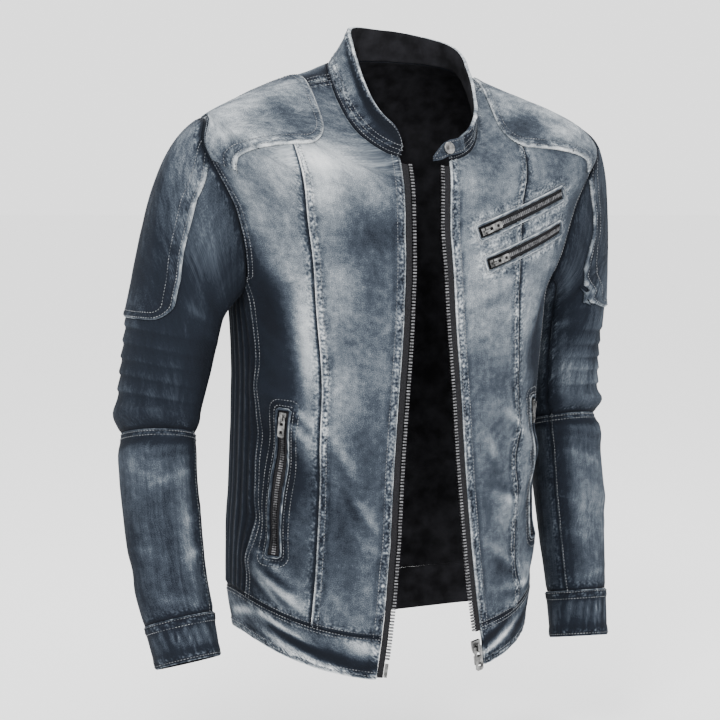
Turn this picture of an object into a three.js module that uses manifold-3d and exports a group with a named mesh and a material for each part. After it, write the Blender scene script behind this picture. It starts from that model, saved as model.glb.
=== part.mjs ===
// A denim jacket worn open, kept in the hollow shape of its wearer: stand collar with a snap tab, princess
// seams, tucked side panels, shoulder and sleeve patches, open-ended front zip and four zipped pockets.
// Millimetres, +Z up, front towards -Y, wearer's left towards +X. The origin lies between the shoulders at
// the height where the neck seam crosses the shoulder line.
import * as THREE from "three";
import { mergeVertices } from "three/addons/utils/BufferGeometryUtils.js";
import Module from "manifold-3d";

// Cloth and seams
const wall = 2; // two plies of washed denim
const patchWall = 1.8;
const bandWall = 2.6; // hem band, collar and cuffs are folded double
const seamGap = 0.3;
const patchGap = 0.5; // under what lies on a panel
const halfGap = seamGap / 2;

// Body rings from the hem edge (at 0) to the neck seam (at 1). Widths and depths are half sizes from the
// ring's own centre (x, y). The heights are those of the ring at the front, the side and the back.
const bodyRings = [
  { at: 0.0, side: 170, front: 122, back: 101, x: -12, y: 25, zFront: -651, zSide: -604, zBack: -622, dip: 0 },
  { at: 0.07, side: 177, front: 125, back: 106, x: -12, y: 26, zFront: -604, zSide: -557, zBack: -574, dip: 0 },
  { at: 0.18, side: 177, front: 124, back: 106, x: -11, y: 26, zFront: -527, zSide: -500, zBack: -506, dip: 0 },
  { at: 0.32, side: 175, front: 122, back: 104, x: -9, y: 25, zFront: -436, zSide: -424, zBack: -424, dip: 0 },
  { at: 0.48, side: 177, front: 117, back: 110, x: -6, y: 18, zFront: -334, zSide: -330, zBack: -325, dip: 0 },
  { at: 0.62, side: 185, front: 110, back: 117, x: -4, y: 10, zFront: -246, zSide: -240, zBack: -235, dip: 0 },
  { at: 0.7, side: 202, front: 106, back: 120, x: -2, y: 6, zFront: -203, zSide: -188, zBack: -182, dip: 0 },
  { at: 0.78, side: 217, front: 101, back: 120, x: -1, y: 3, zFront: -167, zSide: -136, zBack: -128, dip: 0 },
  { at: 0.86, side: 241, front: 97, back: 114, x: 0, y: 2, zFront: -135, zSide: -70, zBack: -66, dip: 0.1 },
  { at: 0.94, side: 158, front: 90, back: 92, x: 1, y: 0, zFront: -110, zSide: -24, zBack: -8, dip: 0.6 },
  { at: 1.0, side: 82, front: 82, back: 66, x: 3, y: 0, zFront: -92, zSide: -11, zBack: 20, dip: 1 },
];
const ringPower = 2.25; // 2 is an ellipse, more is boxier
const bandTop = 0.07;
const leftDrop = 3.5; // the wearer's left shoulder hangs lower and the right one higher by this

// Distance of the front edges from the middle of the ring, on the wearer's right and left
const frontEdges = [
  { at: 0.0, right: 57, left: 77 },
  { at: 0.15, right: 46, left: 61 },
  { at: 0.3, right: 41, left: 49 },
  { at: 0.45, right: 38, left: 38 },
  { at: 0.62, right: 34, left: 26 },
  { at: 0.8, right: 35, left: 18 },
  { at: 1.0, right: 36, left: 21 },
];

// The same for the princess seams
const princessSeams = [
  { at: 0.0, right: 128, left: 126 },
  { at: 0.12, right: 121, left: 122 },
  { at: 0.32, right: 117, left: 118 },
  { at: 0.47, right: 118, left: 117 },
  { at: 0.62, right: 127, left: 112 },
  { at: 0.71, right: 134, left: 109 },
  { at: 0.84, right: 144, left: 110 },
  { at: 0.94, right: 148, left: 124 },
];
const shortestPiece = 1.4; // degrees of ring at which the side front runs out below the shoulder seam

// Armhole, in degrees from the centre front and shares of the height
const armhole = { turn: 97, halfTurn: 28, middle: 0.755, halfRise: 0.135, power: 2.5, sideSeamAt: 131 };
const shoulderSeamAtNeck = 94;

// Largest folds of the body: from one place to another, as degrees from the centre front (the wearer's
// right is negative) and the share of the height, with the width and the height of the ridge (or trough)
const bodyFolds = [
  { turn: -68, at: 0.48, toTurn: -42, toAt: 0.39, width: 20, rise: 6 },
  { turn: -68, at: 0.39, toTurn: -46, toAt: 0.31, width: 18, rise: -5 },
  { turn: -36, at: 0.42, toTurn: -18, toAt: 0.22, width: 19, rise: 5 },
  { turn: -72, at: 0.15, toTurn: -44, toAt: 0.1, width: 18, rise: 6 },
  { turn: -72, at: 0.23, toTurn: -50, toAt: 0.16, width: 17, rise: -5 },
  { turn: 26, at: 0.44, toTurn: 50, toAt: 0.36, width: 19, rise: 5 },
  { turn: 62, at: 0.34, toTurn: 34, toAt: 0.26, width: 19, rise: 6 },
  { turn: 66, at: 0.16, toTurn: 42, toAt: 0.1, width: 18, rise: 5 },
  { turn: 68, at: 0.62, toTurn: 52, toAt: 0.52, width: 18, rise: -5 },
  { turn: -66, at: 0.62, toTurn: -52, toAt: 0.54, width: 18, rise: -4 },
  { turn: 128, at: 0.62, toTurn: 160, toAt: 0.48, width: 24, rise: 6 },
  { turn: 232, at: 0.62, toTurn: 200, toAt: 0.47, width: 24, rise: 6 },
  { turn: 130, at: 0.27, toTurn: 174, toAt: 0.2, width: 22, rise: 5 },
  { turn: 228, at: 0.32, toTurn: 190, toAt: 0.24, width: 20, rise: -5 },
  { turn: 148, at: 0.12, toTurn: 204, toAt: 0.1, width: 20, rise: 5 },
];
const degreeLength = 2.3; // millimetres of cloth to a degree, near enough to place folds
const bodyHeight = 640;

// Tucks of the side panels
const tuckCount = 9;
const tuckRise = 1.8;

// Sleeves, from the first full ring under the armhole to the cuff's end. out is the distance from the
// middle of the body, wide the half size across, deep the half size front to back.
const rightArm = [
  { at: 0.0, out: 256, y: 14, z: -255, wide: 50, deep: 56 },
  { at: 0.15, out: 266, y: 15, z: -309, wide: 47, deep: 52 },
  { at: 0.27, out: 275, y: 14, z: -352, wide: 44, deep: 48 },
  { at: 0.36, out: 280, y: 7, z: -386, wide: 41, deep: 45 },
  { at: 0.53, out: 283, y: -9, z: -448, wide: 41, deep: 43 },
  { at: 0.7, out: 283, y: -28, z: -510, wide: 40, deep: 41 },
  { at: 0.87, out: 277, y: -48, z: -571, wide: 37, deep: 38 },
  { at: 1.0, out: 272, y: -62, z: -615, wide: 34, deep: 36 },
];
const leftArm = [
  { at: 0.0, out: 234, y: 42, z: -262, wide: 43, deep: 53 },
  { at: 0.15, out: 230, y: 45, z: -318, wide: 42, deep: 49 },
  { at: 0.27, out: 229, y: 43, z: -362, wide: 42, deep: 46 },
  { at: 0.36, out: 229, y: 36, z: -397, wide: 41, deep: 44 },
  { at: 0.53, out: 226, y: 18, z: -460, wide: 41, deep: 42 },
  { at: 0.7, out: 224, y: 4, z: -522, wide: 38, deep: 39 },
  { at: 0.87, out: 223, y: -9, z: -588, wide: 34, deep: 36 },
  { at: 1.0, out: 221, y: -20, z: -640, wide: 32, deep: 34 },
];
const capBulge = { right: 0.85, left: 0.4 };
const sleeveLength = 380;
const cuffTop = 0.87;
const elbowSeam = 0.345;
const capShare = 0.34; // share of the sleeve's rows that blends from the armhole to the first ring
const frontSleeveSeam = 140; // degrees round the sleeve from its top
const backSleeveSeam = 235;
// Tucks above the elbow seam and folds round it, along the sleeve as a share of its length
const sleeveTucks = { first: 0.055, last: 0.245, count: 5, rise: 2.2 };
const sleeveFolds = [
  { at: 0.305, turn: 30, width: 9, rise: 5, reach: 170 },
  { at: 0.35, turn: 30, width: 9, rise: -5, reach: 170 },
  { at: 0.41, turn: 60, width: 11, rise: 3, reach: 110 },
  { at: 0.6, turn: 60, width: 12, rise: 3, reach: 60 },
  { at: 0.72, turn: 330, width: 13, rise: -3, reach: 70 },
  { at: 0.8, turn: 90, width: 11, rise: 3, reach: 60 },
];

const radians = (degrees) => (degrees * Math.PI) / 180;
const mix = (a, b, share) => a + (b - a) * share;
const clamp01 = (x) => Math.min(1, Math.max(0, x));
const powerOf = (x, p) => Math.sign(x) * Math.abs(x) ** p;
const bell = (distance, width) => Math.exp(-((distance / width) ** 2));

// Smooth value of one column of a table at a share of its length (monotone cubic)
function column(table, name, at) {
  const last = table.length - 1;
  if (at <= table[0].at) return table[0][name];
  if (at >= table[last].at) return table[last][name];
  const slope = (i) => (table[i + 1][name] - table[i][name]) / (table[i + 1].at - table[i].at);
  const tangent = (i) => {
    if (i === 0) return slope(0);
    if (i === last) return slope(last - 1);
    const before = slope(i - 1);
    const after = slope(i);
    return before * after <= 0 ? 0 : (2 * before * after) / (before + after);
  };
  let i = 0;
  while (at > table[i + 1].at) i += 1;
  const span = table[i + 1].at - table[i].at;
  const t = (at - table[i].at) / span;
  const a = table[i][name];
  const b = table[i + 1][name];
  return (
    a * (1 + 2 * t) * (1 - t) ** 2 +
    b * t * t * (3 - 2 * t) +
    span * t * (1 - t) * (tangent(i) * (1 - t) - tangent(i + 1) * t)
  );
}

// Height of the folds at a place on the body
function foldHeight(turn, at) {
  let height = 0;
  for (const fold of bodyFolds) {
    let from = turn;
    while (from - fold.turn > 180) from -= 360;
    while (from - fold.turn < -180) from += 360;
    const alongX = (fold.toTurn - fold.turn) * degreeLength;
    const alongY = (fold.toAt - fold.at) * bodyHeight;
    const x = (from - fold.turn) * degreeLength;
    const y = (at - fold.at) * bodyHeight;
    const share = clamp01((x * alongX + y * alongY) / (alongX ** 2 + alongY ** 2));
    const distance = Math.hypot(x - share * alongX, y - share * alongY);
    height += fold.rise * bell(distance, fold.width);
  }
  return height;
}

// Ring of the body without folds, then the cloth's outer face with them
function ringPoint(turn, at) {
  const angle = radians(turn);
  const ahead = Math.cos(angle);
  const ring = (name) => column(bodyRings, name, at);
  const depth = ahead > 0 ? ring("front") : ring("back");
  const end = ahead > 0 ? ring("zFront") : ring("zBack");
  const level = Math.abs(ahead);
  const bend = ahead > 0 ? 0.5 : 3;
  const steep = ((1 + bend) * level) / (1 + bend * level);
  const fall = mix(level ** 1.6, steep, ring("dip"));
  return new THREE.Vector3(
    ring("x") + ring("side") * powerOf(Math.sin(angle), 2 / ringPower),
    ring("y") - depth * powerOf(ahead, 2 / ringPower),
    mix(ring("zSide"), end, fall) - leftDrop * Math.sin(angle) * bell(at - 0.9, 0.09),
  );
}

function slopeNormal(point, turn, at) {
  const small = 0.002;
  const low = Math.max(0, at - small);
  const high = Math.min(1, at + small);
  const across = point(turn + 0.5, at).sub(point(turn - 0.5, at));
  const up = point(turn, high).sub(point(turn, low));
  return across.cross(up).normalize();
}

const bodyNormal = (turn, at) => slopeNormal(bodySurface, turn, at);

function bodySurface(turn, at) {
  const rise = foldHeight(turn, at);
  const base = ringPoint(turn, at);
  return Math.abs(rise) < 0.01 ? base : base.addScaledVector(slopeNormal(ringPoint, turn, at), rise);
}

const onBody = (turn, at, lift = 0) => bodySurface(turn, at).addScaledVector(bodyNormal(turn, at), lift);

// Degrees that a length of cloth covers round the body at a height
function degreesFor(length, turn, at) {
  return length / bodySurface(turn + 0.5, at).distanceTo(bodySurface(turn - 0.5, at));
}

// A closed wall from a grid of outer points and a grid of inner points of the same shape. A grid whose
// last column meets its first is a tube.
function shell(outer, inner, tube = false) {
  const rows = outer.length;
  const columns = outer[0].length;
  const positions = [...outer.flat(), ...inner.flat()].flatMap((p) => [p.x, p.y, p.z]);
  const place = (layer, row, col) => layer * rows * columns + row * columns + (col % columns);
  const faces = [];
  const quad = (a, b, c, d) => faces.push(a, b, c, a, c, d);
  const strips = tube ? columns : columns - 1;
  for (let row = 0; row < rows - 1; row += 1) {
    for (let col = 0; col < strips; col += 1) {
      quad(place(0, row, col), place(0, row, col + 1), place(0, row + 1, col + 1), place(0, row + 1, col));
      quad(place(1, row, col), place(1, row + 1, col), place(1, row + 1, col + 1), place(1, row, col + 1));
    }
  }
  for (let col = 0; col < strips; col += 1) {
    const top = rows - 1;
    quad(place(0, 0, col), place(1, 0, col), place(1, 0, col + 1), place(0, 0, col + 1));
    quad(place(0, top, col), place(0, top, col + 1), place(1, top, col + 1), place(1, top, col));
  }
  if (!tube) {
    const end = columns - 1;
    for (let row = 0; row < rows - 1; row += 1) {
      quad(place(0, row, 0), place(0, row + 1, 0), place(1, row + 1, 0), place(1, row, 0));
      quad(place(0, row, end), place(1, row, end), place(1, row + 1, end), place(0, row + 1, end));
    }
  }
  const geometry = new THREE.BufferGeometry();
  geometry.setAttribute("position", new THREE.Float32BufferAttribute(positions, 3));
  geometry.setIndex(faces);
  return geometry;
}

// Solids to cut and join with
const wasm = await Module();
wasm.setup();
function solidOf(geometry) {
  const bare = new THREE.BufferGeometry();
  bare.setAttribute("position", geometry.getAttribute("position"));
  if (geometry.index) bare.setIndex(geometry.index);
  const merged = mergeVertices(bare, 1e-4);
  const mesh = new wasm.Mesh({
    numProp: 3,
    vertProperties: new Float32Array(merged.getAttribute("position").array),
    triVerts: new Uint32Array(merged.index.array),
  });
  return new wasm.Manifold(mesh);
}
function geometryOf(solid) {
  const mesh = solid.getMesh();
  const geometry = new THREE.BufferGeometry();
  geometry.setAttribute("position", new THREE.Float32BufferAttribute(mesh.vertProperties, 3));
  geometry.setIndex(Array.from(mesh.triVerts));
  return geometry;
}

const largestPart = (solid) =>
  solid.decompose().reduce((best, part) => (part.volume() > best.volume() ? part : best));

const xAxis = new THREE.Vector3(1, 0, 0);
const yAxis = new THREE.Vector3(0, 1, 0);
const zAxis = new THREE.Vector3(0, 0, 1);

// A prism on an outline that reaches equally far to both sides of its plane
function prism(outline, depth, origin, along, out) {
  const shape = new THREE.Shape(outline.map(([x, y]) => new THREE.Vector2(x, y)));
  const geometry = new THREE.ExtrudeGeometry(shape, { depth: 2 * depth, bevelEnabled: false });
  geometry.translate(0, 0, -depth);
  const across = new THREE.Vector3().crossVectors(out, along).normalize();
  const basis = new THREE.Matrix4().makeBasis(along, across, out);
  return geometry.applyMatrix4(basis.setPosition(origin));
}

// Draws the outermost rows and columns of a grid in by half a seam gap, edge by edge
function drawIn(grid, edges) {
  const pull = (point, towards) => {
    const step = towards.clone().sub(point);
    return point.clone().addScaledVector(step, halfGap / Math.max(step.length(), halfGap));
  };
  const drawn = grid.map((row) => row.map((p) => p.clone()));
  const lastRow = grid.length - 1;
  const lastCol = grid[0].length - 1;
  if (edges.includes("low")) drawn[0] = drawn[0].map((p, i) => pull(p, drawn[1][i]));
  if (edges.includes("high")) drawn[lastRow] = drawn[lastRow].map((p, i) => pull(p, drawn[lastRow - 1][i]));
  for (const row of drawn) {
    if (edges.includes("start")) row[0] = pull(row[0], row[1]);
    if (edges.includes("end")) row[lastCol] = pull(row[lastCol], row[lastCol - 1]);
  }
  return drawn;
}

// A wall on the body. places is a grid of { turn, at, rise, depth }, each row running to the wearer's left.
function bodyWall(places, thickness, edges, lift = 0) {
  const outer = places.map((row) => row.map((p) => onBody(p.turn, p.at, lift + (p.rise ?? 0))));
  const inner = places.map((row) => row.map((p) => onBody(p.turn, p.at, lift - thickness)));
  return shell(drawIn(outer, edges), drawIn(inner, edges));
}

const jacket = new THREE.Group();
const finishes = {
  denim: { color: 0x8f979d, roughness: 0.9, metalness: 0 },
  darkDenim: { color: 0x39414a, roughness: 0.9, metalness: 0 },
  patchDenim: { color: 0x6f777d, roughness: 0.9, metalness: 0 },
  zipTape: { color: 0x17181a, roughness: 0.85, metalness: 0 },
  agedMetal: { color: 0xa9aaa6, roughness: 0.4, metalness: 0.9 },
};
function add(name, geometry, finish) {
  const mesh = new THREE.Mesh(geometry, new THREE.MeshStandardMaterial(finishes[finish]));
  mesh.name = name;
  jacket.add(mesh);
}

// Heights of the armhole's front and back edges at the turns where the sleeve has its columns
const armholeTurns = [0, 20, 40, 60, 78, 97, 115, armhole.sideSeamAt];
function armholePlace(around) {
  const angle = radians(around);
  return {
    turn: armhole.turn - armhole.halfTurn * powerOf(Math.sin(angle), 2 / armhole.power),
    at: armhole.middle + armhole.halfRise * powerOf(Math.cos(angle), 2 / armhole.power),
  };
}
const sideSeamTop = armholePlace(armhole.sideSeamAt);
const shoulderTip = armholePlace(0);

// Rows of every long body panel: evenly up to the armhole, then at the armhole's own places, then to the neck
const lowerRows = 12;
const rowHeights = [];
for (let i = 0; i < lowerRows; i += 1) rowHeights.push(mix(bandTop, sideSeamTop.at, i / lowerRows));
for (const around of [...armholeTurns].reverse()) rowHeights.push(armholePlace(around).at);
for (const share of [0.3, 0.62, 1]) rowHeights.push(mix(shoulderTip.at, 1, share));

const frontSeamTurns = [
  { at: 0.0, turn: 81 },
  { at: 0.08, turn: 78 },
  { at: 0.15, turn: 76 },
  { at: 0.27, turn: 73.5 },
  { at: 0.38, turn: 74 },
  { at: 0.52, turn: 74.5 },
  { at: sideSeamTop.at, turn: sideSeamTop.turn },
];
const backSeamTurn = (at) => 2 * armhole.turn - column(frontSeamTurns, "turn", at);
const shoulderSeam = (at) =>
  mix(armhole.turn, shoulderSeamAtNeck, clamp01((at - shoulderTip.at) / (1 - shoulderTip.at)));

// Outer edge of the front: up the side seam, round the armhole and along the shoulder. The back has the same.
function armholeAround(at) {
  const share = clamp01(Math.abs(at - armhole.middle) / armhole.halfRise);
  const upper = (Math.acos(share ** (armhole.power / 2)) * 180) / Math.PI;
  return at >= armhole.middle ? upper : 180 - upper;
}
function outerFront(at) {
  if (at <= sideSeamTop.at) return column(frontSeamTurns, "turn", at);
  if (at >= shoulderTip.at) return shoulderSeam(at);
  return armholePlace(armholeAround(at)).turn;
}
function outerBack(at) {
  if (at <= sideSeamTop.at) return backSeamTurn(at);
  if (at >= shoulderTip.at) return shoulderSeam(at);
  return armholePlace(360 - armholeAround(at)).turn;
}
// Degrees round the ring at a distance from its middle, or half way round where the ring is too small
function turnAt(distance, at) {
  const share = distance / column(bodyRings, "side", at);
  return share >= 1 ? 180 : (Math.asin(share ** (ringPower / 2)) * 180) / Math.PI;
}
const frontEdge = (sign, at) => turnAt(column(frontEdges, sign < 0 ? "right" : "left", at), at);
const princess = (sign, at) => {
  const seam = turnAt(column(princessSeams, sign < 0 ? "right" : "left", at), at);
  return Math.min(seam, outerFront(at) - shortestPiece);
};

// Rows of places between two edges, always running towards the wearer's left
function placesBetween(heights, from, to, columns) {
  return heights.map((at) =>
    Array.from({ length: columns + 1 }, (_, i) => ({ turn: mix(from(at), to(at), i / columns), at })),
  );
}
const sides = [
  { name: "right", sign: -1 },
  { name: "left", sign: 1 },
];
const centreColumns = 4;
const sideColumns = 4;
const backColumns = 10;
const tuckColumns = tuckCount * 2;
const samplesPerTuckColumn = 3; // the sleeve's first ring has a column for each third tuck column

// Places of a whole front, from its open edge to its outer edge
function frontPlaces(sign, heights) {
  const edge = (at) => sign * frontEdge(sign, at);
  const seam = (at) => sign * princess(sign, at);
  const outer = (at) => sign * outerFront(at);
  const centre = placesBetween(heights, edge, seam, centreColumns);
  const side = placesBetween(heights, seam, outer, sideColumns);
  return centre.map((row, i) => [...row, ...side[i].slice(1)]);
}
const towardsLeft = (sign, places) => (sign < 0 ? places.map((row) => [...row].reverse()) : places);

// The side front ends at the first row where it has run out, and above that the centre reaches the shoulder
const runsOut = (sign, at) => outerFront(at) - princess(sign, at) < shortestPiece * 1.01;
function frontPanels({ name, sign }) {
  const places = frontPlaces(sign, rowHeights);
  const end = rowHeights.findIndex((at) => runsOut(sign, at));
  const centre = places.map((row, i) => [
    ...row.slice(0, centreColumns),
    i > end ? row.at(-1) : row[centreColumns],
  ]);
  const side = places.slice(0, end + 1).map((row) => row.slice(centreColumns));
  const edges = ["low", "high", "start", "end"];
  const windows = pockets
    .filter((pocket) => pocket.sign === sign)
    .map((pocket) => solidOf(pocketPrism(pocket, pocketZip.halfWidth, 0)));
  const panel = (panelPlaces) => {
    const whole = solidOf(bodyWall(towardsLeft(sign, panelPlaces), wall, edges));
    return geometryOf(windows.reduce((solid, window) => solid.subtract(window), whole));
  };
  add(`front_centre_${name}`, panel(centre), "denim");
  add(`front_side_${name}`, panel(side), "denim");
}

// A point of the armhole between two of the sleeve's columns lies on the straight line between them
const underarmStep = samplesPerTuckColumn / tuckColumns;
function underarmTurn(share) {
  const turn = mix(sideSeamTop.turn, 2 * armhole.turn - sideSeamTop.turn, share);
  const off = clamp01(Math.abs(armhole.turn - turn) / armhole.halfTurn) ** (armhole.power / 2);
  const angle = (Math.asin(off) * 180) / Math.PI;
  return turn < armhole.turn ? 180 - angle : 180 + angle;
}
function tuckedPanel({ name, sign }) {
  const lower = rowHeights.slice(0, lowerRows + 1);
  const outer = [];
  const inner = [];
  for (const height of lower) {
    const raised = height === lower.at(-1) ? 0 : tuckRise;
    const rise = (height - bandTop) / (sideSeamTop.at - bandTop);
    const outerRow = [];
    const innerRow = [];
    for (let i = 0; i <= tuckColumns; i += 1) {
      const share = i / tuckColumns;
      const placeOf = (part) => {
        const top = armholePlace(underarmTurn(part)).at;
        const at = mix(bandTop, top, rise);
        const seamAt = mix(bandTop, sideSeamTop.at, rise);
        const turn = mix(column(frontSeamTurns, "turn", seamAt), backSeamTurn(seamAt), part);
        return { turn: sign * turn, at };
      };
      const before = Math.floor(share / underarmStep + 1e-6) * underarmStep;
      const after = Math.min(1, before + underarmStep);
      const along = clamp01((share - before) / underarmStep);
      const from = placeOf(before);
      const to = placeOf(after);
      const lift = i % 2 === 1 ? raised : 0;
      const pointAt = (offset) =>
        onBody(from.turn, from.at, offset).lerp(onBody(to.turn, to.at, offset), along);
      outerRow.push(pointAt(lift));
      innerRow.push(pointAt(-wall));
    }
    outer.push(sign < 0 ? outerRow.reverse() : outerRow);
    inner.push(sign < 0 ? innerRow.reverse() : innerRow);
  }
  const edges = ["low", "high", "start", "end"];
  add(`side_tucked_${name}`, shell(drawIn(outer, edges), drawIn(inner, edges)), "darkDenim");
}

function backPanel() {
  const places = placesBetween(
    rowHeights,
    (at) => outerBack(at),
    (at) => 360 - outerBack(at),
    backColumns,
  );
  add("back", bodyWall(places, wall, ["low", "high", "start", "end"]), "denim");
}

// Turns of the columns that the hem band shares with the panels above it, from front edge to front edge
function aroundTurns(at, withSides) {
  const ends = (sign) => [frontEdge(sign, at), princess(sign, at), outerFront(at)];
  const spread = (from, to, count) => Array.from({ length: count }, (_, i) => mix(from, to, i / count));
  const [leftEdge, leftPrincess, leftOuter] = ends(1);
  const [rightEdge, rightPrincess, rightOuter] = ends(-1);
  const turns = [...spread(leftEdge, leftPrincess, centreColumns)];
  if (withSides) {
    turns.push(...spread(leftPrincess, leftOuter, sideColumns));
    turns.push(...spread(leftOuter, outerBack(at), tuckColumns / samplesPerTuckColumn));
  }
  turns.push(...spread(outerBack(at), 360 - outerBack(at), backColumns));
  if (withSides) {
    turns.push(...spread(360 - outerBack(at), 360 - rightOuter, tuckColumns / samplesPerTuckColumn));
    turns.push(...spread(360 - rightOuter, 360 - rightPrincess, sideColumns));
  }
  turns.push(...spread(360 - rightPrincess, 360 - rightEdge, centreColumns), 360 - rightEdge);
  return turns;
}

function hemBand() {
  const turns = aroundTurns(bandTop, true);
  const lowEdges = [frontEdge(1, 0), 360 - frontEdge(-1, 0)];
  const topEdges = [turns[0], turns[turns.length - 1]];
  const places = [0, 0.5, 1].map((share) =>
    turns.map((turn) => {
      const around = (turn - topEdges[0]) / (topEdges[1] - topEdges[0]);
      const start = mix(lowEdges[0], topEdges[0], share);
      const end = mix(lowEdges[1], topEdges[1], share);
      return { turn: mix(start, end, around), at: share * bandTop };
    }),
  );
  add("hem_band", bodyWall(places, bandWall, ["high"]), "patchDenim");
}

// Stand collar: leans in from the neck seam, with rounded upper corners at the front
const collarHeights = [
  { at: 0, height: 24 },
  { at: 0.11, height: 24 },
  { at: 0.25, height: 22 },
  { at: 0.38, height: 26 },
  { at: 0.5, height: 33 },
  { at: 0.62, height: 37 },
  { at: 0.75, height: 33 },
  { at: 0.89, height: 29 },
  { at: 1, height: 27 },
]; // by the share of a full turn from the centre front towards the wearer's left
const collarLean = 13;
const collarShift = 8; // its top stands towards the wearer's left
const collarRows = [0, 0.35, 0.7, 1];
const collarForward = 13; // it stands square to the neck seam, so at the sides it also leans forward
const cornerReach = 17; // degrees over which the front corners round off
const cornerDrop = 0.8;
const collarEnds = [0, 2.5, 6, 11]; // degrees of the columns next to each front end
// The neck seam is a line from each column of the panels to the next
function neckPoint(turn) {
  const turns = aroundTurns(1, false);
  const next = Math.max(1, turns.findIndex((limit) => limit >= turn - 1e-6));
  const share = (turn - turns[next - 1]) / (turns[next] - turns[next - 1]);
  return bodySurface(turns[next - 1], 1).lerp(bodySurface(turns[next], 1), share);
}
function collarPoint(turn, share, lift) {
  const angle = radians(turn);
  const outward = new THREE.Vector3(Math.sin(angle), -Math.cos(angle), 0);
  const fromEdge = Math.min(turn - frontEdge(1, 1), 360 - frontEdge(-1, 1) - turn);
  const beyond = 1 - clamp01(fromEdge / cornerReach);
  const up = share * (1 - cornerDrop * (1 - Math.sqrt(1 - beyond ** 2)));
  const sideways = mix(0.6, 1, Math.abs(Math.sin(angle)));
  const height = column(collarHeights, "height", turn / 360);
  const forward = -collarForward * Math.sin(angle) ** 2;
  return neckPoint(turn)
    .addScaledVector(outward, lift - collarLean * sideways * up ** 0.8)
    .add(new THREE.Vector3(collarShift * up, forward * up, up * height + seamGap));
}
function collar() {
  const [from, to] = [frontEdge(1, 1), 360 - frontEdge(-1, 1)];
  const start = collarEnds.map((turn) => from + turn);
  const end = collarEnds.map((turn) => to - turn).reverse();
  const count = 18;
  const middle = Array.from({ length: count - 1 }, (_, i) => mix(start.at(-1), end[0], (i + 1) / count));
  const turns = [...start, ...middle, ...end];
  const grid = (lift) => collarRows.map((share) => turns.map((turn) => collarPoint(turn, share, lift)));
  add("collar", shell(grid(0), grid(-bandWall)), "patchDenim");
}

// Snap tab of the collar: a pointed strap on the wearer's left end, and its stud. It keeps the collar's full
// height past the rounded corner, and sinks and narrows towards its tip.
const tab = { from: -15, to: 13, low: 0.22, high: 0.92, wall: 2.4, gap: 0.9, steady: 21, taper: 0.35 };
const tabSink = new THREE.Vector3(1.4, 0.1, 0.6); // for each degree beyond the collar's end
function tabPoint(along, across, lift) {
  const edge = frontEdge(1, 1);
  const turn = mix(tab.from, tab.to, along);
  const base = collarPoint(edge + Math.max(turn, 0), 0, lift);
  const up = collarPoint(edge + tab.steady, 1, 0).sub(collarPoint(edge + tab.steady, 0, 0));
  const point = 1 - clamp01(along / tab.taper);
  const half = (tab.high - tab.low) * 0.5 * (1 - 0.72 * point ** 1.4);
  const middle = (tab.high + tab.low) / 2 - 0.12 * point;
  base.addScaledVector(up, middle + (across - 0.5) * 2 * half);
  return base.addScaledVector(tabSink, Math.min(turn, 0));
}
const stud = { top: 6.5, bottom: 7.2, thick: 2, along: 0.45, lift: 1.85 };
function collarTab() {
  const steps = 7;
  const grid = (lift) =>
    [0, 0.5, 1].map((across) => Array.from({ length: steps + 1 }, (_, i) => tabPoint(i / steps, across, lift)));
  add("collar_tab", shell(grid(tab.gap + tab.wall), grid(tab.gap)), "patchDenim");
  const outward = new THREE.Vector3(0.2, -1, 0.25).normalize();
  const cap = new THREE.CylinderGeometry(stud.top, stud.bottom, stud.thick, 20);
  cap.applyQuaternion(new THREE.Quaternion().setFromUnitVectors(yAxis, outward));
  const seat = tabPoint(stud.along, 0.5, tab.gap + tab.wall).addScaledVector(outward, stud.lift);
  cap.translate(...seat.toArray());
  add("collar_snap", cap, "agedMetal");
}

// Points of a rounded corner, from one heading to another in degrees
function corner(x, y, radius, from, to) {
  return Array.from({ length: 6 }, (_, i) => {
    const angle = radians(mix(from, to, i / 5));
    return [x + radius * Math.cos(angle), y + radius * Math.sin(angle)];
  });
}

// Patch that lies over the shoulder from the sleeve seam towards the collar, with a round inner end. Its
// outline is that of the view from above.
const shoulderPatch = { frontOut: -48, frontIn: -57, back: 50, innerEnd: 105, outerEnd: 262, radius: 26 };
function shoulderPatches({ name, sign }) {
  const { frontOut, frontIn, back, innerEnd, outerEnd, radius } = shoulderPatch;
  const outline = [
    [outerEnd, back],
    ...corner(innerEnd + radius, back - radius, radius, 90, 180),
    ...corner(innerEnd + radius, frontIn + radius, radius, 180, 270),
    [outerEnd, frontOut],
  ].map(([x, y]) => [sign * x, y]);
  const cutter = solidOf(prism(outline, 200, new THREE.Vector3(), xAxis, zAxis));
  const heights = rowHeights.filter((at) => at > 0.845);
  const rear = placesBetween(heights, (at) => sign * outerBack(at), () => sign * 180, backColumns / 2);
  const [front, behind] = [frontPlaces(sign, heights), rear].map((places) =>
    solidOf(bodyWall(towardsLeft(sign, places), patchWall, [], patchWall + patchGap)),
  );
  const beside = sleeveLayer(sign, patchGap + patchWall + seamGap);
  const patch = largestPart(front.add(behind).intersect(cutter).subtract(beside));
  add(`shoulder_patch_${name}`, geometryOf(patch), "patchDenim");
}

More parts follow.
